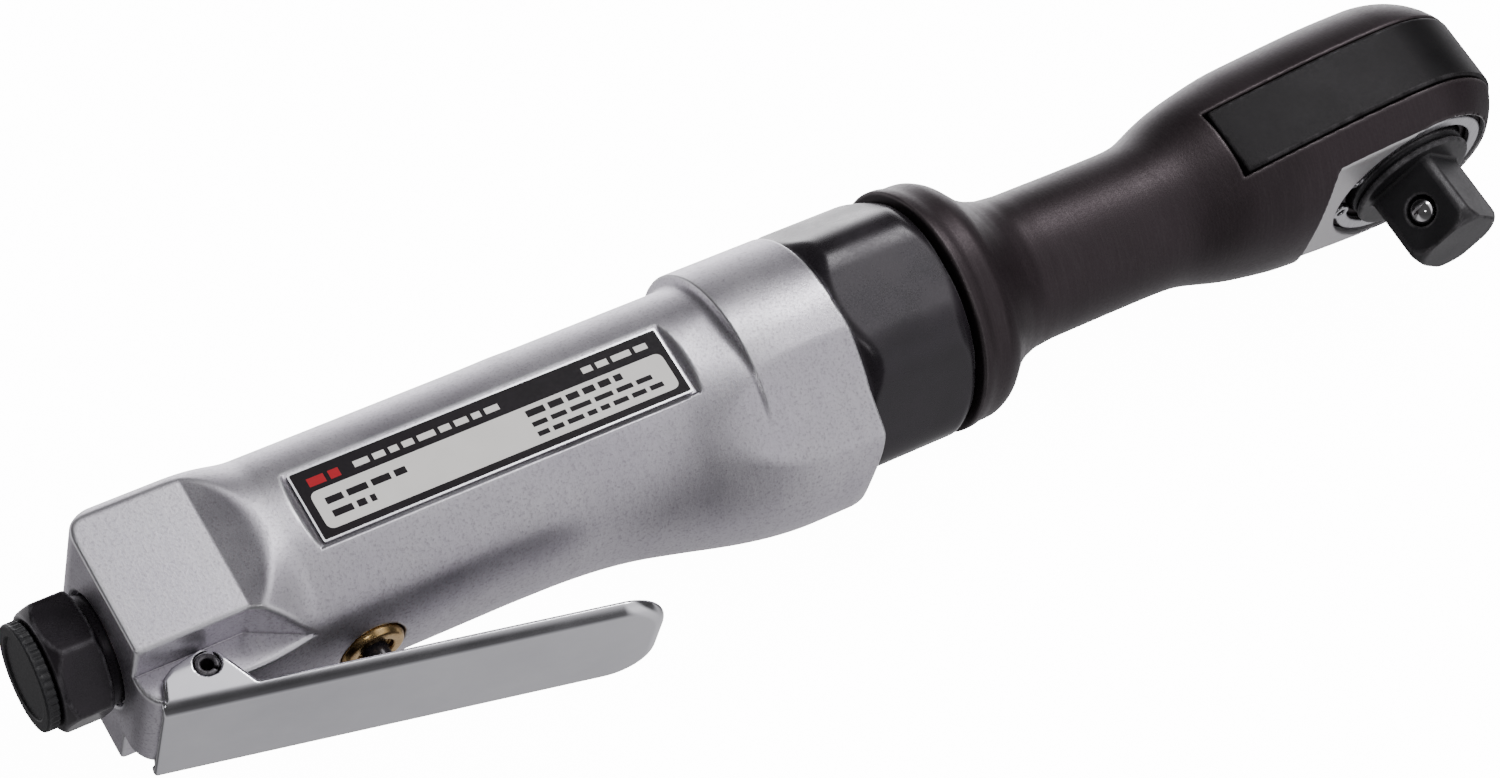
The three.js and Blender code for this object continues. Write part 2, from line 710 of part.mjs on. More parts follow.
place('throttle_lever', throttleLever(), CHROME);
place('lever_pin', barZ(-10.3, 10.3, LEVER_PIN_RADIUS, LEVER_PIVOT.x, -LEVER_PIVOT.drop), BLACK_STEEL);
place('throttle_bushing', throttleBushing(), BRASS);
place('throttle_plunger', throttlePlunger(), BLACK_STEEL);
place('plunger_seal', barY(BUSHING_END + 1.7, BUSHING_END + 0.3, 3.2, 2.3, VALVE_X, 0, 20), RUBBER);
place('valve_seat', barY(SEAT_TOP, SEAT_BOTTOM, 4.95, 2.9, VALVE_X, 0, 24), BRASS);
place('throttle_valve', throttleValve(), RUBBER);
place('valve_spring', valveSpring(), BRIGHT_STEEL);

// ---- Exhaust --------------------------------------------------------------------------

place('exhaust_muffler', platedX(ringSector(15.9, 19.7, 0.34), -137.5, -122), FELT);

// ---- Air motor ------------------------------------------------------------------------

function rotor() {
  const sunOutline = flatShape(toothOutline(SUN_TEETH, GEAR_MODULE, 0.85, 1.15, 0.2));
  const body = join(
    solid(barX(CYLINDER_REAR + 0.3, CYLINDER_FRONT - 0.3, ROTOR_RADIUS, 0, 32)),
    solid(barX(-179.4, CYLINDER_REAR + 1, JOURNAL_RADIUS, 0, 16)),
    solid(barX(CYLINDER_FRONT - 1, GEAR_REAR - 5, JOURNAL_RADIUS, 0, 16)),
    solid(platedX(sunOutline, GEAR_REAR - 6, GEAR_FRONT + 0.4)),
  );
  const slots = [];
  for (let k = 0; k < VANE_COUNT; k += 1) {
    const slot = box(CYLINDER_REAR, CYLINDER_FRONT, -VANE_SLOT / 2, VANE_SLOT / 2, VANE_ROOT - 0.3, 12);
    slot.rotateX(2 * Math.PI * k / VANE_COUNT);
    slots.push(solid(slot));
  }
  return cut(body, ...slots);
}

function vane(k) {
  const half = VANE_THICKNESS / 2;
  const blade = box(CYLINDER_REAR + 0.5, CYLINDER_FRONT - 0.5, -half, half, VANE_ROOT, ROTOR_RADIUS - 0.1);
  blade.rotateX(2 * Math.PI * k / VANE_COUNT);
  return blade;
}

function motorCylinder() {
  const shell = solid(barX(CYLINDER_REAR, CYLINDER_FRONT, MOTOR_RADIUS, 0, 40));
  const bore = barX(CYLINDER_REAR - 1, CYLINDER_FRONT + 1, CYLINDER_RADIUS, 0, 40);
  bore.translate(0, 0, CYLINDER_OFFSET);
  const ports = [];
  for (const x of [-160, -153, -146]) {
    ports.push(solid(barY(5, 20, 1.3, 0, x, 0, 10)));
  }
  const dowelHole = barX(CYLINDER_REAR - 1, CYLINDER_REAR + 4, 0.95, 0, 8).translate(0, 0, -12.6);
  return cut(shell, solid(bore), ...ports, solid(dowelHole));
}

// End plate with a bearing pocket open at 'pocketEnd'.
function endPlate(x0, x1, pocketEnd, dowel) {
  const pocketStart = pocketEnd < (x0 + x1) / 2 ? x1 - 2.6 : x0 + 2.6;
  const rearFirst = Math.min(pocketStart, pocketEnd);
  const frontLast = Math.max(pocketStart, pocketEnd);
  const plate = cut(
    solid(barX(x0, x1, MOTOR_RADIUS, 0, 40)),
    solid(barX(rearFirst, frontLast, SMALL_BEARING_RADIUS + 0.15, 0, 24)),
    solid(barX(x0 - 1, x1 + 1, JOURNAL_RADIUS + 1, 0, 24)),
  );
  if (!dowel) return plate;
  return cut(plate, solid(barX(x1 - 2.5, x1 + 1, 0.95, 0, 8).translate(0, 0, -12.6)));
}

place('rear_end_plate', endPlate(-179.7, -171.7, -180.7, true), BRIGHT_STEEL);
place('rear_bearing', barX(-179.3, -174.6, SMALL_BEARING_RADIUS, JOURNAL_RADIUS + 0.1, 24), BRIGHT_STEEL);
place('motor_cylinder', motorCylinder(), BRIGHT_STEEL);
place('cylinder_dowel', barX(-173.8, -168.6, 0.75, 0, 8).translate(0, 0, -12.6), BRIGHT_STEEL);
place('rotor', rotor(), BRIGHT_STEEL);
for (let k = 0; k < VANE_COUNT; k += 1) {
  place(`vane_${k + 1}`, vane(k), RESIN);
}
place('front_end_plate', endPlate(-135.1, -127.1, -126.1, false), BRIGHT_STEEL);
place('front_bearing', barX(-132.2, -127.5, SMALL_BEARING_RADIUS, JOURNAL_RADIUS + 0.1, 24), BRIGHT_STEEL);

// ---- Planetary reduction --------------------------------------------------------------

function ringGear() {
  const teeth = flatShape(ringTeeth());
  return cut(
    solid(barX(RING_GEAR_REAR, RING_GEAR_FRONT, RING_GEAR_RADIUS, 0, 40)),
    solid(barX(RING_GEAR_REAR - 1, GEAR_REAR - 0.5, RING_GEAR_BORE, 0, 32)),
    solid(barX(GEAR_FRONT + 0.5, RING_GEAR_FRONT + 1, RING_GEAR_BORE, 0, 32)),
    solid(platedX(teeth, GEAR_REAR - 1, GEAR_FRONT + 1)),
  );
}

// The space inside the ring's teeth: a gap is centred on every planet's direction.
function ringTeeth() {
  return toothOutline(RING_TEETH, GEAR_MODULE, 1.15, 0.85, 0.26);
}

const PLANET_ORBIT = (SUN_TEETH + PLANET_TEETH) * GEAR_MODULE / 2;

// Every planet has a tooth pointing straight out, which leaves a gap facing the sun.
function planetGear(k) {
  const around = 2 * Math.PI * k / PLANET_COUNT;
  const outline = flatShape(toothOutline(PLANET_TEETH, GEAR_MODULE, 0.85, 1.15, 0.2));
  const hole = new THREE.Path();
  hole.absarc(0, 0, PLANET_PIN_RADIUS + 0.15, 0, 2 * Math.PI, true);
  outline.holes.push(hole);
  const gear = platedX(outline, GEAR_REAR, GEAR_FRONT, 6);
  gear.translate(0, PLANET_ORBIT, 0);
  gear.rotateX(around);
  return gear;
}

function planetPin(k) {
  const pin = barX(GEAR_REAR - 0.3, CARRIER_REAR + 4, PLANET_PIN_RADIUS, 0, PLANET_PIN_SIDES);
  pin.translate(0, PLANET_ORBIT, 0);
  pin.rotateX(2 * Math.PI * k / PLANET_COUNT);
  return pin;
}

place('ring_gear', ringGear(), BRIGHT_STEEL);
for (let k = 0; k < PLANET_COUNT; k += 1) {
  place(`planet_gear_${k + 1}`, planetGear(k), BRIGHT_STEEL);
  place(`planet_pin_${k + 1}`, planetPin(k), BRIGHT_STEEL);
}

// ---- Crankshaft -----------------------------------------------------------------------

function crankshaft() {
  const pinHoles = [];
  for (let k = 0; k < PLANET_COUNT; k += 1) {
    const hole = barX(CARRIER_REAR - 1, CARRIER_REAR + 4.3, PLANET_PIN_RADIUS + 0.15, 0, PLANET_PIN_SIDES);
    hole.translate(0, PLANET_ORBIT, 0);
    hole.rotateX(2 * Math.PI * k / PLANET_COUNT);
    pinHoles.push(solid(hole));
  }
  const shaft = join(
    solid(barX(CARRIER_REAR, CARRIER_FRONT, CARRIER_RADIUS, 0, 32)),
    solid(barX(CARRIER_FRONT - 1, CRANK_FRONT, CRANK_RADIUS, 0, 24)),
    solid(barX(CRANK_FRONT - 1, CRANK_PIN_END, CRANK_PIN_RADIUS, 0, 16).translate(0, CRANK_THROW, 0)),
  );
  return cut(shaft, ...pinHoles);
}

function driveBushing() {
  const bushing = turnedX([
    [-32, CRANK_PIN_RADIUS + 0.1], [-32, 3.1], [-31, DRIVE_BUSHING_RADIUS],
    [-26, DRIVE_BUSHING_RADIUS], [-25, 3.1], [-25, CRANK_PIN_RADIUS + 0.1],
    [-32, CRANK_PIN_RADIUS + 0.1],
  ], 24);
  bushing.translate(0, CRANK_THROW, 0);
  return bushing;
}

place('crankshaft', crankshaft(), BRIGHT_STEEL);
place('crank_bearing', barX(-99, -91, RING_GEAR_BORE - 0.3, CRANK_RADIUS + 0.1, 32), BRIGHT_STEEL);
place('crank_bushing', barX(-54, -39, NECK_BORE_RADIUS - 0.2, CRANK_RADIUS + 0.1, 32), BRONZE);
place('drive_bushing', driveBushing(), BRONZE);

// ---- Coupling nut ---------------------------------------------------------------------

function couplingNut() {
  const prism = solid(platedX(hexagon(NUT_FLATS, NUT_CORNER_RADIUS + 0.3, NUT_TURN), NUT_REAR, NUT_FRONT));
  const low = NUT_FLATS / 2 - 0.2;
  const envelope = solid(turnedX([
    [NUT_REAR, 0], [NUT_REAR, low], [NUT_REAR + NUT_CHAMFER, NUT_CORNER_RADIUS],
    [NUT_FRONT - NUT_CHAMFER, NUT_CORNER_RADIUS], [NUT_FRONT, low], [NUT_FRONT, 0],
  ], 72));
  return cut(
    prism.intersect(envelope),
    solid(barX(NUT_REAR - 1, NUT_FRONT + 1, RING_GEAR_RADIUS + 0.4, 0, 40)),
  );
}

place('coupling_nut', couplingNut(), BLACK_STEEL);

// ---- Ratchet housing ------------------------------------------------------------------

function flangeBody() {
  return solid(turnedX([
    [FLANGE_REAR, 0], [FLANGE_REAR, FLANGE_RADIUS], [-90.1, FLANGE_RADIUS], [-89.8, 19.6],
    [-86.2, 19.5], [-84.6, 18.7], [-83, 17], [-81.2, 15.2], [-79, 13.7], [-76, 12.7],
    [-72, 12.2], [-66, NECK_RADIUS], [-48, NECK_RADIUS], [-48, 0],
  ], 48));
}

// The head seen from above is a paddle with a round end about the drive axis.
function headSection(x) {
  const swell = smooth(-56, -4, x);
  const shoulder = smooth(-52, -30, x);
  const tip = Math.max(x, 0) / HEAD_RADIUS;
  const close = Math.sqrt(Math.max(1 - tip * tip, 0));
  const tuck = (1 - tip ** 2.6) ** (1 / 2.6);
  return {
    x,
    back: blend(NECK_RADIUS, HEAD_BACK, 0.65 * shoulder + 0.35 * swell) * tuck,
    belly: blend(NECK_RADIUS, HEAD_FRONT, shoulder) * tuck,
    side: blend(NECK_RADIUS, HEAD_RADIUS, 0.3 * shoulder + 0.7 * swell) * close,
    roundness: blend(2, HEAD_ROUNDNESS, shoulder),
  };
}

function headBody() {
  const steps = [...stations(-58, -8, 9), 0];
  for (let k = 1; k <= 7; k += 1) {
    steps.push(HEAD_RADIUS * Math.sin(Math.PI / 2 * k / 7.5));
  }
  return solid(loft(steps.map(headSection), 40));
}

function ratchetHousing() {
  const slotOutline = box(SLOT_REAR, 40, -SLOT_HALF, SLOT_HALF, -40, 40);
  return cut(
    join(flangeBody(), headBody()),
    solid(barX(FLANGE_REAR - 1, SOCKET_END, SOCKET_RADIUS, 0, 40)),
    solid(barX(SOCKET_END - 1, SLOT_REAR - 2.5, NECK_BORE_RADIUS, 0, 32)),
    solid(barX(SLOT_REAR - 4, SLOT_REAR + 1, CRANK_RADIUS + 0.2, 0, 32)),
    solid(slotOutline),
    solid(barY(SPOTFACE_DEPTH, 40, SPOTFACE_RADIUS, 0, 0, 0, 48)),
    solid(barY(RING_RECESS_DEPTH, 40, RING_RECESS_RADIUS, 0, 0, 0, 40)),
    solid(barY(0, 40, SHOULDER_RADIUS + 0.3, 0, 0, 0, 32)),
    solid(barY(-40, 0, ANVIL_JOURNAL_RADIUS + 0.3, 0, 0, 0, 32)),
    solid(barY(-40, -KNOB_RECESS_DEPTH, KNOB_RECESS_RADIUS, 0, 0, 0, 40)),
    solid(barY(-7.7, 0, 11.4, 0, 0, 0, 32)),
  );
}

place('ratchet_housing', ratchetHousing(), BROWNED_STEEL);
place('head_gasket', barX(SOCKET_END - 0.9, SOCKET_END - 0.2, RING_GEAR_RADIUS, RING_GEAR_BORE, 40), RUBBER);

// ---- Yoke, anvil and pawl -------------------------------------------------------------

function yokeTeeth() {
  const points = [];
  for (let k = 0; k < YOKE_TEETH; k += 1) {
    for (const [share, radius] of [[0, YOKE_BORE], [0.5, YOKE_BORE + YOKE_TOOTH_DEPTH]]) {
      const angle = 2 * Math.PI * (k + share) / YOKE_TEETH;
      points.push([radius * Math.cos(angle), radius * Math.sin(angle)]);
    }
  }
  return points;
}

function ratchetYoke() {
  const outline = new THREE.Shape();
  const tangent = 0.72 * Math.PI;
  outline.absarc(0, 0, YOKE_RADIUS, -tangent, tangent, false);
  outline.lineTo(YOKE_TAIL, YOKE_TAIL_HALF);
  outline.lineTo(YOKE_TAIL, YOKE_FORK_HALF);
  outline.lineTo(YOKE_FORK_END, YOKE_FORK_HALF);
  outline.lineTo(YOKE_FORK_END, -YOKE_FORK_HALF);
  outline.lineTo(YOKE_TAIL, -YOKE_FORK_HALF);
  outline.lineTo(YOKE_TAIL, -YOKE_TAIL_HALF);
  outline.closePath();
  const blank = solid(platedY(outline, -YOKE_HALF, YOKE_HALF, 16));
  return cut(blank, solid(platedY(flatShape(yokeTeeth()), -YOKE_HALF - 1, YOKE_HALF + 1)));
}

// A square with its corners cut to a radius, turned about the drive axis.
function squareShape(size, cornerRadius, turn) {
  const points = [];
  const halfFlat = Math.acos(size / 2 / cornerRadius);
  for (let k = 0; k < 4; k += 1) {
    const middle = turn + Math.PI / 4 + k * Math.PI / 2;
    for (const angle of [middle - halfFlat, middle + halfFlat]) {
      points.push([cornerRadius * Math.cos(angle), cornerRadius * Math.sin(angle)]);
    }
  }
  return flatShape(points);
}

// Direction of the drive face that carries the detent ball, in X and Z.
const DETENT_FACE = DRIVE_TURN + 3 * Math.PI / 4;

function detentBar(inner, outer, radius, sides = 16) {
  const bar = new THREE.CylinderGeometry(radius, radius, outer - inner, sides);
  bar.rotateZ(Math.PI / 2);
  bar.translate((inner + outer) / 2, 0, 0);
  bar.rotateY(-DETENT_FACE);
  bar.translate(0, -DETENT_DEPTH, 0);
  return bar;
}

function anvil() {
  const body = join(
    solid(barY(5.9, -5.9, ANVIL_BODY_RADIUS, 0, 0, 0, 40)),
    solid(barY(-JOURNAL_TOP, -5, ANVIL_JOURNAL_RADIUS, 0, 0, 0, 32)),
    solid(barY(5, SHOULDER_FACE, SHOULDER_RADIUS, 0, 0, 0, 32)),
    squareDrive(),
  );
  return cut(
    body,
    solid(box(0.5, 13, -5, 5, -4.6, 4.6)),
    solid(barY(-30, 2, STEM_RADIUS + 0.2, 0, 0, 0, 20)),
    solid(detentBar(0.5, 8, DETENT_RADIUS + 0.15)),
  );
}

function squareDrive() {
  const shank = solid(platedY(
    squareShape(SQUARE, SQUARE_CORNER_RADIUS, DRIVE_TURN), -DRIVE_REACH, -SHOULDER_FACE + 1,
  ));
  const chamfer = solid(turnedY([
    [SHOULDER_FACE - 1, 0], [SHOULDER_FACE - 1, 9], [DRIVE_REACH - 1.6, 9],
    [DRIVE_REACH, 6.9], [DRIVE_REACH, 0],
  ], 0, 0, 48));
  return shank.intersect(chamfer);
}

function pawl() {
  const outline = flatShape([
    [3.1, -2.8], [8.6, -3.6], [11.2, -1.6], [11.2, 1.6], [8.6, 3.6], [3.1, 2.8],
  ]);
  const blank = solid(platedY(outline, -4.6, 4.6));
  return cut(blank, solid(barY(-6, 6, 1.45, 0, PAWL_PIVOT, 0, 12)));
}

function reverseKnob() {
  const knob = join(
    solid(barY(-KNOB_TOP, -JOURNAL_TOP - 0.3, KNOB_RADIUS, 0, 0, 0, 40)),
    solid(box(-8.6, 8.6, KNOB_TOP - 0.5, KNOB_TOP + 1, -1.8, 1.8)),
    solid(barY(-JOURNAL_TOP - 1, 1.7, STEM_RADIUS, 0, 0, 0, 20)),
  );
  return cut(knob, solid(barX(-1.4, STEM_RADIUS + 1, PAWL_PLUNGER_RADIUS + 0.15, 0, 12)));
}

// An open snap ring in the recess round the anvil's shoulder.
function retainingRing() {
  const shape = new THREE.Shape();
  const gap = 0.32;
  const towardsNeck = Math.PI;
  shape.absarc(0, 0, 13.7, towardsNeck + gap, towardsNeck - gap + 2 * Math.PI, false);
  shape.absarc(0, 0, 11.5, towardsNeck - gap + 2 * Math.PI, towardsNeck + gap, true);
  shape.closePath();
  return platedY(shape, -RING_RECESS_DEPTH - 1.5, -RING_RECESS_DEPTH - 0.3, 20);
}

function detentBall() {
  const ball = new THREE.SphereGeometry(DETENT_RADIUS, 16, 10);
  const reach = SQUARE / 2 + 0.85 - DETENT_RADIUS;
  ball.translate(reach * Math.cos(DETENT_FACE), -DETENT_DEPTH, reach * Math.sin(DETENT_FACE));
  return ball;
}

place('ratchet_yoke', ratchetYoke(), BLACK_STEEL);
place('anvil', anvil(), BLACK_STEEL);
place('pawl', pawl(), BRIGHT_STEEL);
place('pawl_plunger', barX(0.6, STEM_RADIUS + 0.2, PAWL_PLUNGER_RADIUS, 0, 12), BRIGHT_STEEL);
place('pawl_spring', barX(-1.2, 0.4, PAWL_PLUNGER_RADIUS - 0.1, 0.5, 12), BRIGHT_STEEL);
place('pawl_pin', barY(-4.8, 4.8, 1.2, 0, PAWL_PIVOT, 0, 12), BRIGHT_STEEL);
place('reverse_knob', reverseKnob(), BLACK_STEEL);
place('friction_washer', barY(-7.4, -6.4, 11.1, 8.35, 0, 0, 32), BRIGHT_STEEL);
place('retaining_ring', retainingRing(), BRIGHT_STEEL);
place('detent_ball', detentBall(), BRIGHT_STEEL);
place('detent_spring', cut(solid(detentBar(0.8, 1.9, 1.9, 16)), solid(detentBar(0, 3, 1.2, 12))), BRIGHT_STEEL);

export default group;
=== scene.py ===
"""Air ratchet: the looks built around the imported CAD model.

Shapes are written as signed distance fields in tool coordinates, in millimetres:
x runs along the tool, d points from the tool axis towards the lever and the square
drive (that is -Y), and s points out of the side with the long nameplate (+Z).
"""

import json
import math

import bpy
import numpy as np
from mathutils import Matrix, Vector


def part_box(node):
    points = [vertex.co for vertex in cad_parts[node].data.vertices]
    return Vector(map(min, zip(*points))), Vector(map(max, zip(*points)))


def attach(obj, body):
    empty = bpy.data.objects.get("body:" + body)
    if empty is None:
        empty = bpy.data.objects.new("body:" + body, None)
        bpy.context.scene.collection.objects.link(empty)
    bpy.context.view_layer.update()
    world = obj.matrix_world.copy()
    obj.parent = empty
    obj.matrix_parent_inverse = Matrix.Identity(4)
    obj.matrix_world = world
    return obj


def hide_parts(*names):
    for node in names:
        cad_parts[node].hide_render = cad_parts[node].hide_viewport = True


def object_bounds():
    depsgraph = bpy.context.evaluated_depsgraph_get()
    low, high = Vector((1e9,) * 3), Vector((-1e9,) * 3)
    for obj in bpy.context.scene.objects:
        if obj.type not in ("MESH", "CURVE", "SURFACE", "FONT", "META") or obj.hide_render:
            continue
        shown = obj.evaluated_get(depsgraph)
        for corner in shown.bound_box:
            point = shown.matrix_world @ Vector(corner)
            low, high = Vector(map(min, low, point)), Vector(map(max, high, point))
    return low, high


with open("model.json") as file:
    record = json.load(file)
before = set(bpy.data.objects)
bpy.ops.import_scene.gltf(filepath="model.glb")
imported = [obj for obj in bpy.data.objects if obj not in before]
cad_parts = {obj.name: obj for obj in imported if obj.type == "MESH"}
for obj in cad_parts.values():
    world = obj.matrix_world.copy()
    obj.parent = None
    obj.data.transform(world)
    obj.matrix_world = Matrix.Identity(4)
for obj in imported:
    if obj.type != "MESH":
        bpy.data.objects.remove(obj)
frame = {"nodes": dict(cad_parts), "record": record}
cad_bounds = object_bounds()

MM = 0.001


def node_box(node):
    """Lowest and highest corner of a CAD node in millimetres."""
    low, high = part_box(node)
    return np.array(low) / MM, np.array(high) / MM


AXIS_Y = float(np.mean([corner[1] for corner in node_box("rotor")]))


# ---- Distance fields ------------------------------------------------------------------


def smooth_max(a, b, width):
    """The larger of two fields, with a fillet where they meet."""
    return np.maximum(a, b) + np.maximum(width - np.abs(a - b), 0) ** 2 / (4 * width)


def smooth_min(a, b, width):
    return -smooth_max(-a, -b, width)


def between(low, high, value):
    """0 below low, 1 above high, with an eased step."""
    t = np.clip((value - low) / (high - low), 0, 1)
    return t * t * (3 - 2 * t)


def slab(value, low, high):
    """Distance to the space between two parallel planes."""
    return np.maximum(low - value, value - high)


def disc(a, b, radius):
    return np.hypot(a, b) - radius


def oval(a, b, half_a, half_b, power):
    """Distance, nearly, to a superellipse round the origin."""
    share = (np.abs(a / half_a) ** power + np.abs(b / half_b) ** power) ** (1 / power)
    share = np.maximum(share, 1e-4)
    return np.hypot(a, b) * (1 - 1 / share)


def rounded_box(a, b, half_a, half_b, corner):
    """Distance to a rectangle with rounded corners."""
    over_a = np.abs(a) - half_a + corner
    over_b = np.abs(b) - half_b + corner
    outside = np.hypot(np.maximum(over_a, 0), np.maximum(over_b, 0))
    return outside + np.minimum(np.maximum(over_a, over_b), 0) - corner


def polygon(a, b, points):
    """Distance to a polygon given by its corners in order."""
    best = np.full(np.shape(a), 1e9)
    sign = np.ones(np.shape(a))
    for i, (ax, ay) in enumerate(points):
        bx, by = points[i - 1]
        ex, ey = bx - ax, by - ay
        wx, wy = a - ax, b - ay
        t = np.clip((wx * ex + wy * ey) / (ex * ex + ey * ey), 0, 1)
        best = np.minimum(best, (wx - ex * t) ** 2 + (wy - ey * t) ** 2)
        above = b >= ay
        below = b < by
        left = ex * wy > ey * wx
        flip = (above & below & left) | (~above & ~below & ~left)
        sign = np.where(flip, -sign, sign)
    return sign * np.sqrt(best)


def hexagon(a, b, flats, turn):
    """Distance to a hexagon whose corners lie at turn + k * 60 degrees."""
    worst = None
    for k in range(6):
        angle = turn + math.radians(30 + 60 * k)
        side = a * math.cos(angle) + b * math.sin(angle) - flats / 2
        worst = side if worst is None else np.maximum(worst, side)
    return worst


def eased(table, spread=1.5):
    """A function through (x, value) points with its corners rounded off."""
    xs = np.array([x for x, _ in table], float)
    ys = np.array([y for _, y in table], float)
    fine = np.arange(xs[0] - 20, xs[-1] + 20, 0.1)
    raw = np.interp(fine, xs, ys)
    reach = int(3 * spread / 0.1)
    window = np.exp(-0.5 * (np.arange(-reach, reach + 1) * 0.1 / spread) ** 2)
    padded = np.concatenate([np.full(reach, raw[0]), raw, np.full(reach, raw[-1])])
    soft = np.convolve(padded, window / window.sum(), "valid")
    return lambda x: np.interp(x, fine, soft)


# ---- Meshes from fields ---------------------------------------------------------------


def corners_of(values, cells, offset):
    i, j, k = (cells[:, n] + offset[n] for n in range(3))
    return values[i, j, k]


EDGES = [
    ((0, 0, 0), (1, 0, 0)), ((0, 1, 0), (1, 1, 0)), ((0, 0, 1), (1, 0, 1)), ((0, 1, 1), (1, 1, 1)),
    ((0, 0, 0), (0, 1, 0)), ((1, 0, 0), (1, 1, 0)), ((0, 0, 1), (0, 1, 1)), ((1, 0, 1), (1, 1, 1)),
    ((0, 0, 0), (0, 0, 1)), ((1, 0, 0), (1, 0, 1)), ((0, 1, 0), (0, 1, 1)), ((1, 1, 0), (1, 1, 1)),
]


def grid_points(low, high, step):
    """The grid's coordinates along each axis."""
    counts = np.ceil((np.array(high) - np.array(low)) / step).astype(int) + 1
    return [low[n] + step * np.arange(counts[n]) for n in range(3)]


def sample(field, axes):
    """The field on the whole grid, with y turned into d."""
    x, y, z = np.meshgrid(*axes, indexing="ij")
    return field(x, -y, z).astype(np.float32)


def first_points(values, low, step):
    """One point in each cell that the surface crosses, and each such cell's number."""
    inside = values < 0
    count = np.zeros(tuple(n - 1 for n in values.shape), np.int8)
    for i in (0, 1):
        for j in (0, 1):
            for k in (0, 1):
                count += inside[
                    i : values.shape[0] - 1 + i,
                    j : values.shape[1] - 1 + j,
                    k : values.shape[2] - 1 + k,
                ]
    crossed = (count > 0) & (count < 8)
    cells = np.argwhere(crossed)
    total = np.zeros((len(cells), 3))
    hits = np.zeros(len(cells))
    for a, b in EDGES:
        va = corners_of(values, cells, a)
        vb = corners_of(values, cells, b)
        cut = (va < 0) != (vb < 0)
        share = np.where(cut, va / np.where(cut, va - vb, 1), 0)[:, None]
        place = np.array(a) + share * (np.array(b) - np.array(a))
        total += np.where(cut[:, None], place, 0)
        hits += cut
    numbers = np.full(count.shape, -1, np.int64)
    numbers[tuple(cells.T)] = np.arange(len(cells))
    points = np.array(low) + step * (cells + total / hits[:, None])
    return points, cells, numbers


def faces_of(values, numbers):
    """Quads between the points of neighbouring cells, facing out."""
    inside = values < 0
    quads = []
    for axis in range(3):
        one, two = [n for n in range(3) if n != axis]
        near = np.take(inside, range(values.shape[axis] - 1), axis)
        far = np.take(inside, range(1, values.shape[axis]), axis)
        at = np.argwhere(near != far)
        keep = (at[:, one] > 0) & (at[:, two] > 0)
        keep &= (at[:, one] < values.shape[one] - 1) & (at[:, two] < values.shape[two] - 1)
        at = at[keep]
        leaving = near[tuple(at.T)]
        ring = []
        for shift_one, shift_two in ((1, 1), (0, 1), (0, 0), (1, 0)):
            cell = at.copy()
            cell[:, one] -= shift_one
            cell[:, two] -= shift_two
            ring.append(numbers[tuple(cell.T)])
        quad = np.stack(ring, 1)
        forward = leaving if axis != 1 else ~leaving
        quads.append(np.where(forward[:, None], quad, quad[:, ::-1]))
    return np.concatenate(quads)


def slopes(field, points, reach):
    """The field, its gradient and its curvature at points."""
    centre = field(points[:, 0], -points[:, 1], points[:, 2])
    gradient = np.zeros_like(points)
    bend = -6 * centre
    for n in range(3):
        ends = []
        for way in (1, -1):
            moved = points.copy()
            moved[:, n] += way * reach
            ends.append(field(moved[:, 0], -moved[:, 1], moved[:, 2]))
        gradient[:, n] = (ends[0] - ends[1]) / (2 * reach)
        bend = bend + ends[0] + ends[1]
    length = np.maximum(np.linalg.norm(gradient, axis=1), 1e-6)
    return centre, gradient, bend / (reach * reach * length)


def skin(name, field, low, high, step, mark=None):
    """A closed mesh on the zero surface of a field, in a box of tool coordinates.

    mark(x, d, s, facing) gives a value per point for the material to read, where
    facing is the part of the normal that points along d.
    """
    box_low = (low[0], -high[1], low[2])
    box_high = (high[0], -low[1], high[2])
    axes = grid_points(box_low, box_high, step)
    values = sample(field, axes)
    points, _, numbers = first_points(values, box_low, step)
    quads = faces_of(values, numbers)
    for _ in range(3):
        value, gradient, _ = slopes(field, points, 0.2 * step)
        square = np.maximum((gradient**2).sum(1), 1e-3)
        move = -gradient * (value / square)[:, None]
        size = np.maximum(np.linalg.norm(move, axis=1), 1e-9)
        points += move * np.minimum(1, 0.5 * step / size)[:, None]
    _, normals, _ = slopes(field, points, 0.3 * step)
    _, _, bend = slopes(field, points, 0.8 * step)
    piece = build_mesh(name, points, quads, normals, bend)
    if mark is not None:
        facing = -normals[:, 1] / np.maximum(np.linalg.norm(normals, axis=1), 1e-9)
        value = mark(points[:, 0], -points[:, 1], points[:, 2], facing)
        attribute = piece.data.attributes.new("mark", "FLOAT", "POINT")
        attribute.data.foreach_set("value", value.astype(np.float32))
    return piece


def build_mesh(name, points, faces, normals=None, bend=None):
    """A Blender object from arrays of points in tool millimetres and equal-sized faces."""
    mesh = bpy.data.meshes.new(name)
    place = points * MM + np.array([0, AXIS_Y * MM, 0])
    size = faces.shape[1]
    mesh.vertices.add(len(points))
    mesh.vertices.foreach_set("co", place.astype(np.float32).ravel())
    mesh.loops.add(len(faces) * size)
    mesh.loops.foreach_set("vertex_index", faces.astype(np.int32).ravel())
    mesh.polygons.add(len(faces))
    mesh.polygons.foreach_set("loop_start", np.arange(0, len(faces) * size, size, dtype=np.int32))
    mesh.update(calc_edges=True)
    mesh.validate()
    mesh.shade_smooth()
    if normals is not None and len(mesh.vertices) == len(points):
        unit = normals / np.maximum(np.linalg.norm(normals, axis=1), 1e-9)[:, None]
        mesh.normals_split_custom_set_from_vertices(unit.tolist())
        # Curvature per point: positive on convex edges, negative in concave creases, where the aluminium
        # paints shade.
        edge = mesh.attributes.new("edge", "FLOAT", "POINT")
        edge.data.foreach_set("value", np.clip(bend * 0.6, -1, 1).astype(np.float32))
    piece = bpy.data.objects.new(name, mesh)
    bpy.context.scene.collection.objects.link(piece)
    return piece


# ---- Lathe and plate helpers ----------------------------------------------------------


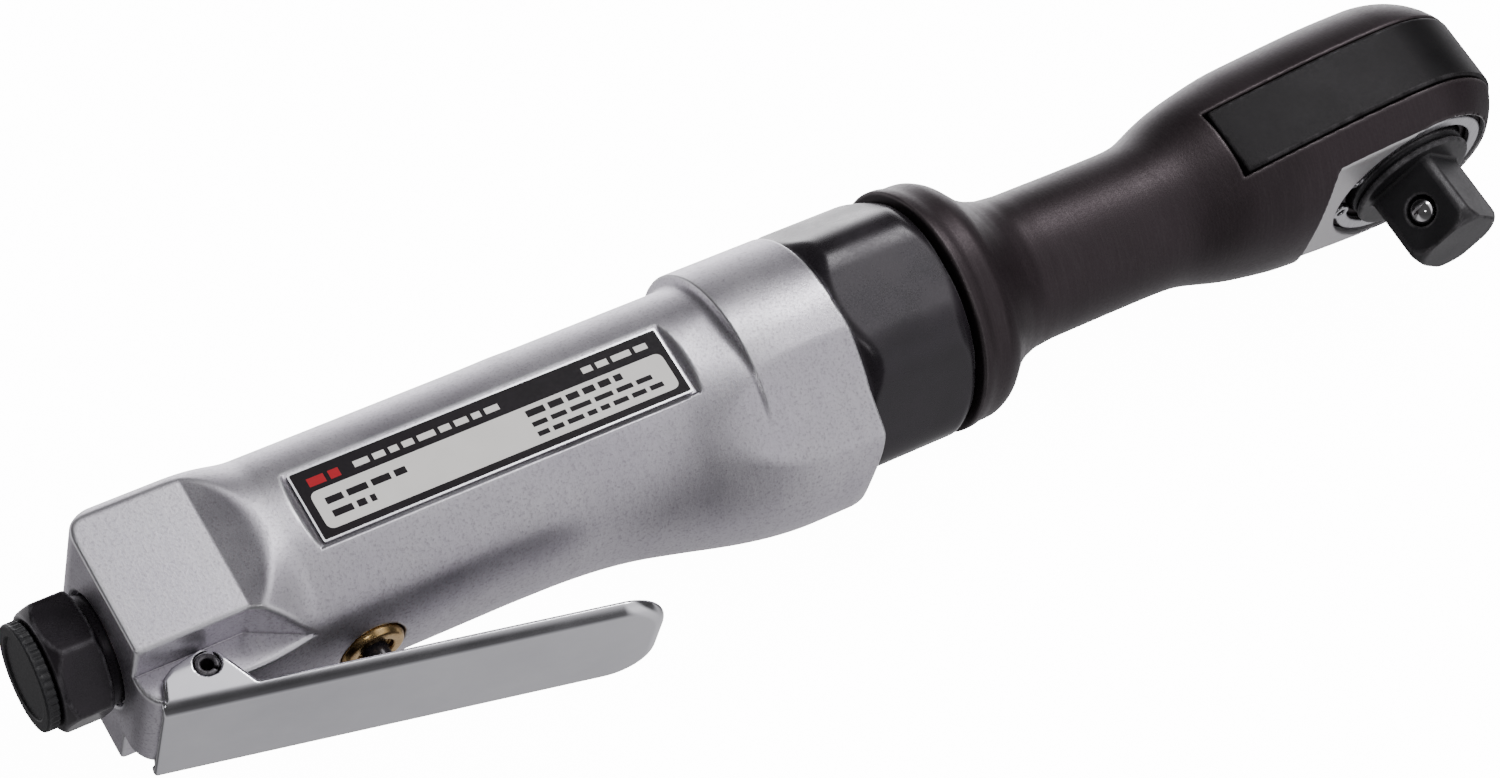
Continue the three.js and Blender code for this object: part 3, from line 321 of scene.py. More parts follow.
def rounded_path(points, radius, steps=4, closed=False):
    """A polyline with its corners turned into arcs."""
    made = []
    count = len(points)
    for i, here in enumerate(points):
        here = np.array(here, float)
        if not closed and i in (0, count - 1):
            made.append(here)
            continue
        before = np.array(points[i - 1], float) - here
        after = np.array(points[(i + 1) % count], float) - here
        reach = min(radius, 0.45 * np.linalg.norm(before), 0.45 * np.linalg.norm(after))
        start = here + before / np.linalg.norm(before) * reach
        end = here + after / np.linalg.norm(after) * reach
        for t in np.linspace(0, 1, steps + 1):
            made.append((1 - t) ** 2 * start + 2 * t * (1 - t) * here + t * t * end)
    return np.array(made)


def turned(name, profile, along, centre, radius=0.2, sides=96, closed=True):
    """A lathe piece. profile holds (distance, radius) points along an axis through centre."""
    path = rounded_path(profile, radius, closed=closed)
    angles = np.linspace(0, 2 * math.pi, sides, endpoint=False)
    rings = []
    for distance, reach in path:
        a, b = reach * np.cos(angles), reach * np.sin(angles)
        flat = np.full(sides, distance)
        if along == "x":
            rings.append(np.stack([flat, a, b], 1))
        else:
            rings.append(np.stack([a, -flat, b], 1))
    points = np.concatenate(rings) + np.array([centre[0], -centre[1], centre[2]])
    count = len(path)
    faces = []
    for i in range(count if closed else count - 1):
        one, two = i * sides, (i + 1) % count * sides
        for k in range(sides):
            nxt = (k + 1) % sides
            faces.append([one + k, one + nxt, two + nxt, two + k])
    return finish_mesh(name, points, np.array(faces))


def finish_mesh(name, points, faces, smooth=35):
    """Merges doubled points, faces the mesh outwards and shades its curves smooth."""
    piece = build_mesh(name, points, faces)
    bpy.context.view_layer.objects.active = piece
    import bmesh

    work = bmesh.new()
    work.from_mesh(piece.data)
    bmesh.ops.remove_doubles(work, verts=work.verts, dist=1e-6)
    bmesh.ops.dissolve_degenerate(work, edges=work.edges, dist=1e-7)
    bmesh.ops.recalc_face_normals(work, faces=work.faces)
    work.to_mesh(piece.data)
    work.free()
    for polygon_face in piece.data.polygons:
        polygon_face.use_smooth = True
    piece.data.set_sharp_from_angle(angle=math.radians(smooth))
    return piece


def plate(name, outline, low, high, axis="z", radius=0.0, steps=5):
    """A flat piece: an outline in (x, y) or (x, z) raised between two levels."""
    path = rounded_path(outline, radius, steps, closed=True) if radius else np.array(outline, float)
    count = len(path)
    points = []
    for level in (low, high):
        for a, b in path:
            points.append((a, b, level) if axis == "z" else (a, level, b))
    import bmesh

    work = bmesh.new()
    verts = [work.verts.new((p[0] * MM, (p[1] + AXIS_Y) * MM, p[2] * MM)) for p in points]
    work.faces.new(verts[:count])
    work.faces.new(verts[count:])
    for k in range(count):
        nxt = (k + 1) % count
        work.faces.new([verts[k], verts[nxt], verts[count + nxt], verts[count + k]])
    bmesh.ops.recalc_face_normals(work, faces=work.faces)
    mesh = bpy.data.meshes.new(name)
    work.to_mesh(mesh)
    work.free()
    piece = bpy.data.objects.new(name, mesh)
    bpy.context.scene.collection.objects.link(piece)
    return piece


# ---- Materials ------------------------------------------------------------------------


class Finish:
    """Builds one node material step by step."""

    def __init__(self, name):
        self.material = bpy.data.materials.new(name)
        self.material.use_nodes = True
        self.nodes = self.material.node_tree.nodes
        self.links = self.material.node_tree.links
        self.shader = self.nodes["Principled BSDF"]
        self.place = self.nodes.new("ShaderNodeTexCoord").outputs["Object"]

    def plain(self, **values):
        for key, value in values.items():
            self.shader.inputs[key.replace("_", " ")].default_value = value
        return self

    def noise(self, scale, detail=4, rough=0.6, stretch=(1, 1, 1), warp=0):
        mapping = self.nodes.new("ShaderNodeMapping")
        mapping.inputs["Scale"].default_value = [scale * n for n in stretch]
        self.links.new(self.place, mapping.inputs["Vector"])
        noise = self.nodes.new("ShaderNodeTexNoise")
        noise.inputs["Scale"].default_value = 1
        noise.inputs["Detail"].default_value = detail
        noise.inputs["Roughness"].default_value = rough
        noise.inputs["Distortion"].default_value = warp
        self.links.new(mapping.outputs["Vector"], noise.inputs["Vector"])
        return noise.outputs["Fac"]

    def attribute(self, name):
        attribute = self.nodes.new("ShaderNodeAttribute")
        attribute.attribute_name = name
        return attribute.outputs["Fac"]

    def edge(self):
        return self.attribute("edge")

    def span(self, value, low, high, to_low=0.0, to_high=1.0):
        node = self.nodes.new("ShaderNodeMapRange")
        node.inputs["From Min"].default_value = low
        node.inputs["From Max"].default_value = high
        node.inputs["To Min"].default_value = to_low
        node.inputs["To Max"].default_value = to_high
        self.links.new(value, node.inputs["Value"])
        return node.outputs["Result"]

    def math(self, operation, a, b=None):
        node = self.nodes.new("ShaderNodeMath")
        node.operation = operation
        for socket, value in zip(node.inputs, (a, b)):
            if value is None:
                continue
            if isinstance(value, (int, float)):
                socket.default_value = value
            else:
                self.links.new(value, socket)
        return node.outputs[0]

    def mix(self, share, a, b):
        node = self.nodes.new("ShaderNodeMix")
        node.data_type = "RGBA"
        self.links.new(share, node.inputs["Factor"])
        for socket, value in ((node.inputs[6], a), (node.inputs[7], b)):
            if isinstance(value, tuple):
                socket.default_value = (*value, 1)
            else:
                self.links.new(value, socket)
        return node.outputs[2]

    def colour(self, value):
        self.links.new(value, self.shader.inputs["Base Color"])
        return self

    def roughness(self, value):
        self.links.new(value, self.shader.inputs["Roughness"])
        return self

    def bump(self, value, strength, distance):
        node = self.nodes.new("ShaderNodeBump")
        node.inputs["Strength"].default_value = strength
        node.inputs["Distance"].default_value = distance * MM
        self.links.new(value, node.inputs["Height"])
        before = self.shader.inputs["Normal"]
        if before.is_linked:
            self.links.new(before.links[0].from_socket, node.inputs["Normal"])
        self.links.new(node.outputs["Normal"], self.shader.inputs["Normal"])
        return self


def cast_aluminium():
    """Tumbled cast aluminium: satin, a little speckled, with fine cross scratches, paler on convex edges
    and with painted shade darkening its concave creases.
    """
    f = Finish("cast_aluminium")
    f.plain(Metallic=0.92)
    cloud = f.noise(90, 3, 0.55)
    grain = f.noise(1500, 3, 0.7, (1, 0.14, 0.14))
    speckle = f.noise(2200, 3, 0.7)
    tone = f.mix(f.span(cloud, 0.3, 0.7), (0.63, 0.605, 0.665), (0.74, 0.72, 0.765))
    tone = f.mix(f.span(grain, 0.35, 0.75, 0, 0.3), tone, (0.47, 0.44, 0.5))
    tone = f.mix(f.span(speckle, 0.5, 0.68, 0, 0.6), tone, (0.36, 0.33, 0.38))
    tone = f.mix(f.span(f.edge(), 0.15, 0.8, 0, 0.6), tone, (0.88, 0.88, 0.9))
    # Painted shade: where the edge curvature is negative (concave creases) the colour is darkened towards
    # (0.35, 0.32, 0.37).
    tone = f.mix(f.span(f.edge(), -0.25, -0.9, 0, 0.35), tone, (0.35, 0.32, 0.37))
    f.colour(tone)
    uneven = f.span(cloud, 0.3, 0.7, 0.33, 0.44)
    f.roughness(f.math("ADD", uneven, f.span(speckle, 0.3, 0.8, -0.04, 0.08)))
    f.bump(grain, 0.25, 0.03)
    f.bump(speckle, 0.45, 0.05)
    return f.material


def chrome():
    """Bright plating outside; the channel's inner faces carry painted shade, near-black, and are rougher.
    """
    f = Finish("lever_chrome")
    f.plain(Metallic=1.0)
    haze = f.noise(60, 4, 0.6)
    rub = f.noise(900, 3, 0.7, (0.1, 1, 1))
    tone = f.mix(f.span(haze, 0.3, 0.7), (0.78, 0.78, 0.815), (0.88, 0.88, 0.91))
    # Painted shade: the inner faces of the channel are coloured near-black (0.08, 0.075, 0.08).
    inside = f.span(f.attribute("mark"), 0, 1)
    f.colour(f.mix(f.math("MULTIPLY", inside, 0.85), tone, (0.08, 0.075, 0.08)))
    worn = f.math("ADD", f.span(haze, 0.3, 0.7, 0.07, 0.14), f.span(rub, 0.4, 0.9, 0, 0.06))
    f.roughness(f.math("ADD", worn, f.math("MULTIPLY", inside, 0.3)))
    f.bump(f.noise(25, 2, 0.5), 0.12, 0.2)
    return f.material


def black_oxide(name, dark, light, worn, rough=(0.22, 0.34)):
    """Blackened steel: oily black with paler rubbed edges."""
    f = Finish(name)
    f.plain(Metallic=0.35)
    cloud = f.noise(120, 4, 0.6)
    fine = f.noise(2200, 3, 0.6)
    tone = f.mix(f.span(cloud, 0.3, 0.7), dark, light)
    rub = f.math("MULTIPLY", f.span(f.edge(), 0.2, 1.0, 0, 0.5), f.span(f.noise(300, 4, 0.7), 0.35, 0.65))
    f.colour(f.mix(rub, tone, worn))
    f.roughness(f.math("ADD", f.span(cloud, 0.3, 0.7, *rough), f.span(fine, 0.3, 0.8, -0.03, 0.06)))
    f.bump(fine, 0.25, 0.02)
    return f.material


def forged_steel():
    """The ratchet housing: browned steel with fine rings of hairlines round the tool."""
    f = Finish("browned_forging")
    f.plain(Metallic=0.6)
    cloud = f.noise(70, 4, 0.6)
    rings = f.noise(3600, 3, 0.75, (1, 0.05, 0.05))
    pits = f.noise(2000, 3, 0.65)
    tone = f.mix(f.span(cloud, 0.3, 0.7), (0.030, 0.022, 0.025), (0.042, 0.031, 0.036))
    tone = f.mix(f.span(rings, 0.45, 0.8, 0, 0.35), tone, (0.07, 0.058, 0.062))
    worn = f.span(f.edge(), 0.25, 1.0, 0, 0.2)
    rub = f.math("MULTIPLY", worn, f.span(f.noise(200, 3, 0.6), 0.3, 0.7, 0.3, 1))
    tone = f.mix(rub, tone, (0.3, 0.27, 0.28))
    cut = f.span(f.attribute("mark"), 0.4, 0.6)
    f.colour(f.mix(cut, tone, (0.7, 0.69, 0.7)))
    f.roughness(f.math("ADD", f.span(cloud, 0.3, 0.7, 0.36, 0.44), f.span(pits, 0.3, 0.8, -0.04, 0.08)))
    f.bump(rings, 0.25, 0.03)
    f.bump(pits, 0.45, 0.06)
    return f.material


def machined(name, dark, light, low=0.22, high=0.34, stretch=(1, 0.1, 0.1)):
    f = Finish(name)
    f.plain(Metallic=1.0)
    lines = f.noise(2400, 3, 0.7, stretch)
    cloud = f.noise(140, 3, 0.6)
    f.colour(f.mix(f.span(lines, 0.3, 0.7), dark, light))
    f.roughness(f.math("ADD", f.span(cloud, 0.3, 0.7, low, high), f.span(lines, 0.3, 0.8, -0.03, 0.05)))
    f.bump(lines, 0.2, 0.015)
    return f.material


def moulded(name, dark, light, rough=(0.45, 0.6), scale=1800):
    f = Finish(name)
    f.plain(Metallic=0.0)
    cloud = f.noise(110, 3, 0.6)
    fine = f.noise(scale, 3, 0.6)
    f.colour(f.mix(f.span(cloud, 0.3, 0.7), dark, light))
    f.roughness(f.span(fine, 0.3, 0.7, *rough))
    f.bump(fine, 0.3, 0.03)
    return f.material


ALUMINIUM = cast_aluminium()
CHROME = chrome()
BLACK = black_oxide("blackened_steel", (0.021, 0.018, 0.022), (0.034, 0.029, 0.035), (0.28, 0.27, 0.29))
YOKE_BLACK = black_oxide(
    "yoke_steel", (0.012, 0.011, 0.012), (0.017, 0.016, 0.017), (0.1, 0.095, 0.1), (0.36, 0.44)
)
YOKE_BLACK.node_tree.nodes["Principled BSDF"].inputs["Specular IOR Level"].default_value = 0.12
DRIVE_BLACK = black_oxide(
    "drive_steel", (0.022, 0.021, 0.023), (0.034, 0.033, 0.036), (0.24, 0.23, 0.24), (0.34, 0.44)
)
FORGING = forged_steel()
BRIGHT = machined("bright_steel", (0.5, 0.5, 0.52), (0.68, 0.68, 0.7))
BALL = machined("ball_steel", (0.78, 0.77, 0.78), (0.86, 0.85, 0.86), 0.07, 0.12)
BRASS = machined("turned_brass", (0.5, 0.33, 0.13), (0.72, 0.5, 0.24), 0.18, 0.28, (1, 1, 1))
BRONZE = machined("sintered_bronze", (0.3, 0.17, 0.08), (0.42, 0.26, 0.13), 0.4, 0.5, (1, 1, 1))
PLASTIC = moulded("plug_plastic", (0.012, 0.012, 0.014), (0.02, 0.02, 0.022))
RUBBER = moulded("seal_rubber", (0.012, 0.012, 0.012), (0.02, 0.02, 0.02), (0.6, 0.75))
RESIN = moulded("vane_resin", (0.16, 0.09, 0.04), (0.25, 0.15, 0.07))
FELT = moulded("muffler_felt", (0.22, 0.2, 0.18), (0.34, 0.32, 0.29), (0.85, 0.95), 900)
PRINT_DARK = moulded("label_black", (0.008, 0.006, 0.008), (0.014, 0.011, 0.014), (0.35, 0.45))
PRINT_LIGHT = moulded("label_field", (0.84, 0.82, 0.785), (0.89, 0.87, 0.84), (0.4, 0.5))
PRINT_RED = moulded("label_red", (0.4, 0.01, 0.02), (0.5, 0.02, 0.03), (0.35, 0.45))
for ink_material in (PRINT_DARK, PRINT_LIGHT, PRINT_RED):
    ink_material.node_tree.nodes["Principled BSDF"].inputs["Specular IOR Level"].default_value = 0.1


def dress(piece, material, body, *nodes, slot=None):
    """Gives a piece its material and body, and hides the CAD nodes it stands for."""
    piece.data.materials.clear()
    piece.data.materials.append(material)
    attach(piece, body)
    if nodes:
        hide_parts(*nodes)
    return piece


# ---- Motor housing --------------------------------------------------------------------

HOUSING_LOW, HOUSING_HIGH = node_box("motor_housing")
END_FACE = HOUSING_LOW[0]
COLLAR_FRONT = HOUSING_HIGH[0]
VALVE_X = float(np.mean([corner[0] for corner in node_box("valve_seat")]))
PIN_LOW, PIN_HIGH = node_box("lever_pin")
PIN_X = (PIN_LOW[0] + PIN_HIGH[0]) / 2
PIN_D = AXIS_Y - (PIN_LOW[1] + PIN_HIGH[1]) / 2
PLATE_LOW, PLATE_HIGH = node_box("side_nameplate")
BACK_LOW, BACK_HIGH = node_box("back_nameplate")
PAD_LEVEL = 16.3
EAR_FLAT = 9.1

LOBE_TILT = math.radians(29)


def ramped(x, rear, front, start, end):
    return rear + (front - rear) * between(start, end, x)


def grip_field(x, d, s):
    """The hand grip, the swelling under its front and the squarer block at its rear."""
    block = 1 - between(-215, -203, x)
    power = 2.25 + 1.5 * block
    back = 17.0 - 1.2 * block
    side = 17.7 + 0.7 * block
    half_d = np.where(d < 0, back, 16.3)
    grip = oval(d, s, half_d, side, power)
    return smooth_min(grip, lobe_field(x, d, s), 2.2)


def lobe_field(x, d, s):
    """The swelling: a round bar cut by two side flats, which leaves a crease on each side."""
    centre = ramped(x, 0, 5.6, -162, -140)
    depth = ramped(x, 15.6, 24.2, -170, -122)
    flat = ramped(x, 17.4, 19.4, -152, -132)
    bar = np.hypot(d - centre, s) - (depth - centre)
    side = d * math.sin(LOBE_TILT) + np.abs(s) * math.cos(LOBE_TILT) - flat
    crease = 0.35 + 2.5 * (1 - between(-164, -148, x))
    return smooth_max(bar, side, crease) + 3 * (1 - between(-184, -166, x))


def collar_field(x, d, s):
    """The collar: a drum with a cove cut round its rear edge."""
    drum = smooth_max(disc(d, s, 19.55), x - COLLAR_FRONT, 0.5)
    cove = np.hypot(np.minimum(x + 132.6, 0) + np.maximum(x + 132.6, 0), np.hypot(d, s) - 20.4) - 3.5
    drum = smooth_max(drum, -cove, 0.3)
    return smooth_max(drum, -(x + 132.6), 0.4)


def housing_field(x, d, s):
    body = grip_field(x, d, s)
    end = END_FACE - x
    corner_back = smooth_max(body, (-d - 17.6 - (x - END_FACE) * 1.05) * 0.69 + 4.4, 1.5)
    body = smooth_max(corner_back, (d - 17.2 - (x - END_FACE) * 0.95) * 0.72 + 2.6, 1.5)
    body = smooth_max(body, end, 1.6)
    body = smooth_max(body, x - COLLAR_FRONT, 0.5)
    body = smooth_min(body, collar_field(x, d, s), 0.8)
    body = smooth_max(body, (x - COLLAR_FRONT + (d - 22.2) * 1.4) * 0.58, 1.4)
    for way in (1, -1):
        level = PAD_LEVEL + np.maximum(x + 213, 0) * 0.26
        above_pad = np.maximum(level - way * s, x + 199)
        body = smooth_max(body, -above_pad, 0.45)
        ear = np.maximum(EAR_FLAT - way * s, 10.2 - d)
        ear = np.maximum(ear, (x + 213.5) * 0.46 - (d - 10.2) * 0.89)
        body = smooth_max(body, -ear, 0.6)
    recess = np.maximum(slab(x, PLATE_LOW[0] - 0.5, PLATE_HIGH[0] + 0.5), slab(d, -6.3, 6.3))
    ramp = np.maximum(PLATE_LOW[0] - 0.5 - x, x - PLATE_HIGH[0] - 0.5)
    floor = PLATE_LOW[2] - 0.3 + np.maximum(ramp, 0)
    recess = np.maximum(np.maximum(slab(d, -6.3, 6.3), ramp - 2.2), floor - s)
    body = smooth_max(body, -recess, 0.25)
    back_ramp = np.maximum(BACK_LOW[0] - 0.3 - x, x - BACK_HIGH[0] - 0.3)
    back_floor = BACK_LOW[1] - AXIS_Y - 0.3 + np.maximum(back_ramp, 0)
    back = np.maximum(np.maximum(slab(s, -5.4, 5.4), back_ramp - 1.5), back_floor + d)
    body = smooth_max(body, -back, 0.25)
    return hollow_field(body, x, d, s)


def hollow_field(body, x, d, s):
    """Takes the bores and passages out of the housing."""
    round_axis = np.hypot(d, s)
    body = smooth_max(body, -np.maximum(round_axis - 8.7, x - END_FACE - 1.2), 0.5)
    body = np.maximum(body, -np.maximum(round_axis - 7.7, x + 219.5))
    bore = np.maximum(round_axis - 14.8, -(x + 180))
    bore = np.minimum(bore, np.maximum(round_axis - 15.8, -(x + 126.1)))
    body = smooth_max(body, -bore, 0.2)
    body = np.maximum(body, -np.maximum(disc(d + 3, s, 3.6), slab(x, -220, VALVE_X)))
    body = np.maximum(body, -np.maximum(disc(d - 6.2, s, 2.6), slab(x, VALVE_X, -179)))
    chamber = disc(x - VALVE_X, s, 5.25)
    body = smooth_max(body, -np.maximum(chamber, -11.5 - d), 0.3)
    body = smooth_max(body, -disc(x - PIN_X, d - PIN_D, 1.9), 0.2)
    sector = np.abs(s) - 0.42 * d
    exhaust = np.maximum(slab(round_axis, 14, 20), np.maximum(sector, slab(x, -139, -117)))
    slot = np.maximum(slab(round_axis, 21, 22.4), np.maximum(np.abs(s) - 0.22 * d, -(x + 121)))
    return np.maximum(body, -np.minimum(exhaust, slot))


housing = skin("housing_shell", housing_field, (-231.5, -21, -20.5), (-111.5, 25.5, 20.5), 0.43)
dress(housing, ALUMINIUM, "tool", "motor_housing", slot="housing_aluminium")


# ---- Nameplates -----------------------------------------------------------------------


def rectangle(x0, x1, y0, y1):
    return [(x0, y0), (x1, y0), (x1, y1), (x0, y1)]


def side_label():
    """A printed plate: a dark frame with a wide band, a pale field and rows of bars."""
    x0, x1 = PLATE_LOW[0], PLATE_HIGH[0]
    y0, y1 = PLATE_LOW[1] - AXIS_Y, PLATE_HIGH[1] - AXIS_Y
    top = PLATE_HIGH[2]
    base = plate("label_plate", rectangle(x0, x1, y0, y1), PLATE_LOW[2], top - 0.09, radius=0.3)
    dress(base, BRIGHT, "tool", "side_nameplate", slot="nameplate")
    inset = rectangle(x0 + 0.3, x1 - 0.3, y0 + 0.3, y1 - 0.3)
    ink = plate("label_frame", inset, top - 0.09, top - 0.05, radius=0.3)
    dress(ink, PRINT_DARK, "tool", slot="nameplate")
    field_box = rectangle(x0 + 1.5, x1 - 1.4, y0 + 1.4, y1 - 4.0)
    field = plate("label_field", field_box, top - 0.05, top - 0.02, radius=1.3)
    dress(field, PRINT_LIGHT, "tool", slot="nameplate")
    bars(x0, y1, top)


def bars(x0, y1, top):
    """Rows of short bars where such a plate carries its print."""
    rng = np.random.default_rng(7)
    rows = [
        (x0 + 3.2, x0 + 17, y1 - 6.1, 0.55, PRINT_DARK, top - 0.02),
        (x0 + 3.2, x0 + 10, y1 - 8.3, 0.55, PRINT_DARK, top - 0.02),
        (x0 + 36, x0 + 52, y1 - 5.3, 0.55, PRINT_DARK, top - 0.02),
        (x0 + 36, x0 + 56, y1 - 7.2, 0.4, PRINT_DARK, top - 0.02),
        (x0 + 36, x0 + 57, y1 - 8.9, 0.4, PRINT_DARK, top - 0.02),
        (x0 + 2.2, x0 + 7.2, y1 - 2.5, 0.7, PRINT_RED, top - 0.05),
        (x0 + 9.5, x0 + 33, y1 - 2.4, 0.5, PRINT_LIGHT, top - 0.05),
        (x0 + 47, x0 + 58, y1 - 2.2, 0.5, PRINT_LIGHT, top - 0.05),
    ]
    for number, (start, end, y, half, material, level) in enumerate(rows):
        parts = []
        at = start
        while at < end:
            width = rng.uniform(1.4, 3.4)
            parts.append((at, min(at + width, end)))
            at += width + 0.7
        for part, (a, b) in enumerate(parts):
            if b - a < 0.4:
                continue
            outline = rectangle(a, b, y - half, y + half)
            bar = plate(f"label_bar_{number}_{part}", outline, level, level + 0.02)
            dress(bar, material, "tool", slot="nameplate")


def back_label():
    x0, x1 = BACK_LOW[0], BACK_HIGH[0]
    low, high = BACK_LOW[1] - AXIS_Y, BACK_HIGH[1] - AXIS_Y
    base = plate("back_plate", rectangle(x0, x1, BACK_LOW[2], BACK_HIGH[2]), low, high - 0.05, "y", 0.5)
    dress(base, BRIGHT, "tool", "back_nameplate", slot="nameplate")
    ink = plate(
        "back_plate_ink", rectangle(x0 + 0.4, x1 - 0.4, BACK_LOW[2] + 0.4, BACK_HIGH[2] - 0.4),
        high - 0.05, high - 0.02, "y", 0.5,
    )
    dress(ink, PRINT_DARK, "tool", slot="nameplate")
    for row in range(3):
        z = 2.4 - 2.2 * row
        bar = plate(
            f"back_plate_bar_{row}", rectangle(x0 + 2, x1 - 3 - 3 * row, z - 0.5, z + 0.5),
            high - 0.02, high, "y",
        )
        dress(bar, PRINT_LIGHT, "tool", slot="nameplate")


side_label()
back_label()


# ---- Air inlet ------------------------------------------------------------------------

INLET_LOW, INLET_HIGH = node_box("inlet_bushing")
PLUG_LOW, PLUG_HIGH = node_box("inlet_plug")
INLET_FRONT = INLET_LOW[0]
HEX_TURN = math.radians(12.6)


def inlet_field(x, d, s):
    r = np.hypot(d, s)
    prism = hexagon(d, s, 17.8, HEX_TURN)
    prism = smooth_max(prism, r - 10.15, 0.3)
    prism = smooth_max(prism, slab(x, INLET_FRONT, INLET_FRONT + 7.4), 0.25)
    prism = smooth_max(prism, (r - 8.5 - (x - INLET_FRONT) * 1.1) * 0.67, 0.3)
    prism = smooth_max(prism, (r - 8.9 + (x - INLET_FRONT - 7.4) * 1.7) * 0.5, 0.3)
    collar = smooth_max(r - 8.2, slab(x, INLET_FRONT + 6.5, END_FACE + 0.9), 0.3)
    shank = smooth_max(r - 7.4, slab(x, INLET_FRONT + 6.5, INLET_HIGH[0]), 0.3)
    body = np.minimum(smooth_min(prism, collar, 0.4), shank)
    bore = np.maximum(r - 5.7, x + 224)
    body = smooth_max(body, -bore, 0.3)
    return smooth_max(body, 3.9 - r, 0.3)


def plug_field(x, d, s):
    r = np.hypot(d, s)
    angle = np.arctan2(s, d)
    front = PLUG_LOW[0]
    ribs = 0.17 * (1 - np.abs(np.sin(angle * 20)) ** 1.5) * between(front + 0.2, front + 0.9, x)
    cap = smooth_max(r - 8.12 + ribs * 1.4, slab(x, front, front + 2.0), 0.35)
    dish = np.maximum(r - 6.2, x - front - 0.35)
    cap = smooth_max(cap, -dish, 0.25)
    stem = smooth_max(r - 5.3, slab(x, front + 1.5, PLUG_HIGH[0]), 0.6)
    return np.minimum(cap, stem)


inlet = skin("inlet_fitting", inlet_field, (-240, -11, -11), (-219, 11, 11), 0.32)
dress(inlet, BLACK, "tool", "inlet_bushing", slot="blackened_steel")
plug = skin("inlet_cap", plug_field, (-242.2, -8.8, -8.8), (-233.8, 8.8, 8.8), 0.16)
dress(plug, PLASTIC, "plug", "inlet_plug", slot="plug_plastic")


# ---- Throttle -------------------------------------------------------------------------

LEVER_ANGLE = math.radians(11.6)
LEVER_TIP = 67.0
LEVER_FACE = 6.15
LEVER_SHEET = 1.15
LEVER_HALF = 10.6


def lever_frame(x, d):
    """Coordinates along the paddle and square to its face, from the pin."""
    a, b = x - PIN_X, d - PIN_D
    along = a * math.cos(LEVER_ANGLE) + b * math.sin(LEVER_ANGLE)
    square = b * math.cos(LEVER_ANGLE) - a * math.sin(LEVER_ANGLE)
    return along, square


def paddle_rim(u, s):
    """Distance to the paddle's outline, which stays open at the rear."""
    return rounded_box(u - (LEVER_TIP - 30) / 2, s, (LEVER_TIP + 30) / 2, LEVER_HALF, 7.5)


def lever_field(x, d, s):
    """Bent sheet: a paddle with a low turned rim, whose rear sides rise into two ears."""
    u, v = lever_frame(x, d)
    rim = paddle_rim(u, s)
    bend = 1.9
    outer = rounded_corner(rim, v - LEVER_FACE, bend)
    inner = rounded_corner(rim + LEVER_SHEET, v - LEVER_FACE + LEVER_SHEET, bend - LEVER_SHEET)
    channel = smooth_max(outer, -inner, 0.1)
    kept = np.minimum(polygon(u, v, EAR_OUTLINE) - 0.8, LEVER_FACE - 2.1 - v)
    body = smooth_max(channel, kept, 0.7)
    body = smooth_max(body, -7.6 - u, 0.5)
    return smooth_max(body, -disc(u, v, 1.95), 0.25)


def lever_inner_shade_mask(x, d, s, facing):
    """1 on the inner faces, where the chrome paints shade, 0 elsewhere."""
    u, v = lever_frame(x, d)
    depth = np.minimum(-0.5 * LEVER_SHEET - paddle_rim(u, s), LEVER_FACE - 0.5 * LEVER_SHEET - v)
    return np.clip(depth / 0.3, 0, 1)


def rounded_corner(a, b, radius):
    """Distance to the quarter plane a < 0, b < 0 with its corner rounded."""
    over_a = a + radius
    over_b = b + radius
    outside = np.hypot(np.maximum(over_a, 0), np.maximum(over_b, 0))
    return outside + np.minimum(np.maximum(over_a, over_b), 0) - radius


EAR_OUTLINE = [
    (-6.8, 6.6), (-5.9, 1.4), (-4.6, 0.2), (-0.4, -1.6), (1.6, -0.8), (5.6, 4.6), (7.0, 5.2), (9.5, 6.6),
]


lever = skin("lever_paddle", lever_field, (-230, 9, -11.2), (-154, 33.5, 11.2), 0.26, lever_inner_shade_mask)
dress(lever, CHROME, "lever", "throttle_lever", slot="lever_chrome")


def pin_field(x, d, s):
    """A rolled spring pin with its slit."""
    a, b = x - PIN_X, d - PIN_D
    tube = np.maximum(disc(a, b, 1.72), 0.95 - np.hypot(a, b))
    tube = np.maximum(tube, -np.maximum(np.abs(a - b) - 0.3, -a - b))
    return smooth_max(tube, np.abs(s) - 10.25, 0.3)


pin = skin("roll_pin", pin_field, (-222.6, 10.9, -10.5), (-218.4, 15.1, 10.5), 0.2)
dress(pin, BLACK, "tool", "lever_pin", slot="blackened_steel")

BUSHING_LOW = node_box("throttle_bushing")[0]
BUSHING_FACE = AXIS_Y - BUSHING_LOW[1]
bushing = turned(
    "plunger_bushing",
    [
        (BUSHING_FACE, 2.9), (BUSHING_FACE, 4.5), (BUSHING_FACE - 0.8, 4.95), (10.1, 4.95), (10.1, 3.6),
        (12.2, 3.6), (12.2, 2.2), (BUSHING_FACE - 1.0, 2.2), (BUSHING_FACE - 1.0, 2.9),
    ],
    "d", (VALVE_X, 0, 0), 0.3,
)
dress(bushing, BRASS, "tool", "throttle_bushing", slot="brass")
PLUNGER_TIP = AXIS_Y - node_box("throttle_plunger")[0][1]
plunger = turned(
    "plunger_pin",
    [(PLUNGER_TIP, 0), (PLUNGER_TIP, 1.2), (PLUNGER_TIP - 1.1, 2.0), (1.1, 2.0), (1.1, 0)],
    "d", (VALVE_X, 0, 0), 0.3, 64, closed=False,
)
dress(plunger, BLACK, "plunger", "throttle_plunger", slot="blackened_steel")


# ---- Coupling nut ---------------------------------------------------------------------

NUT_LOW, NUT_HIGH = node_box("coupling_nut")
NUT_TURN = math.radians(-8.5)


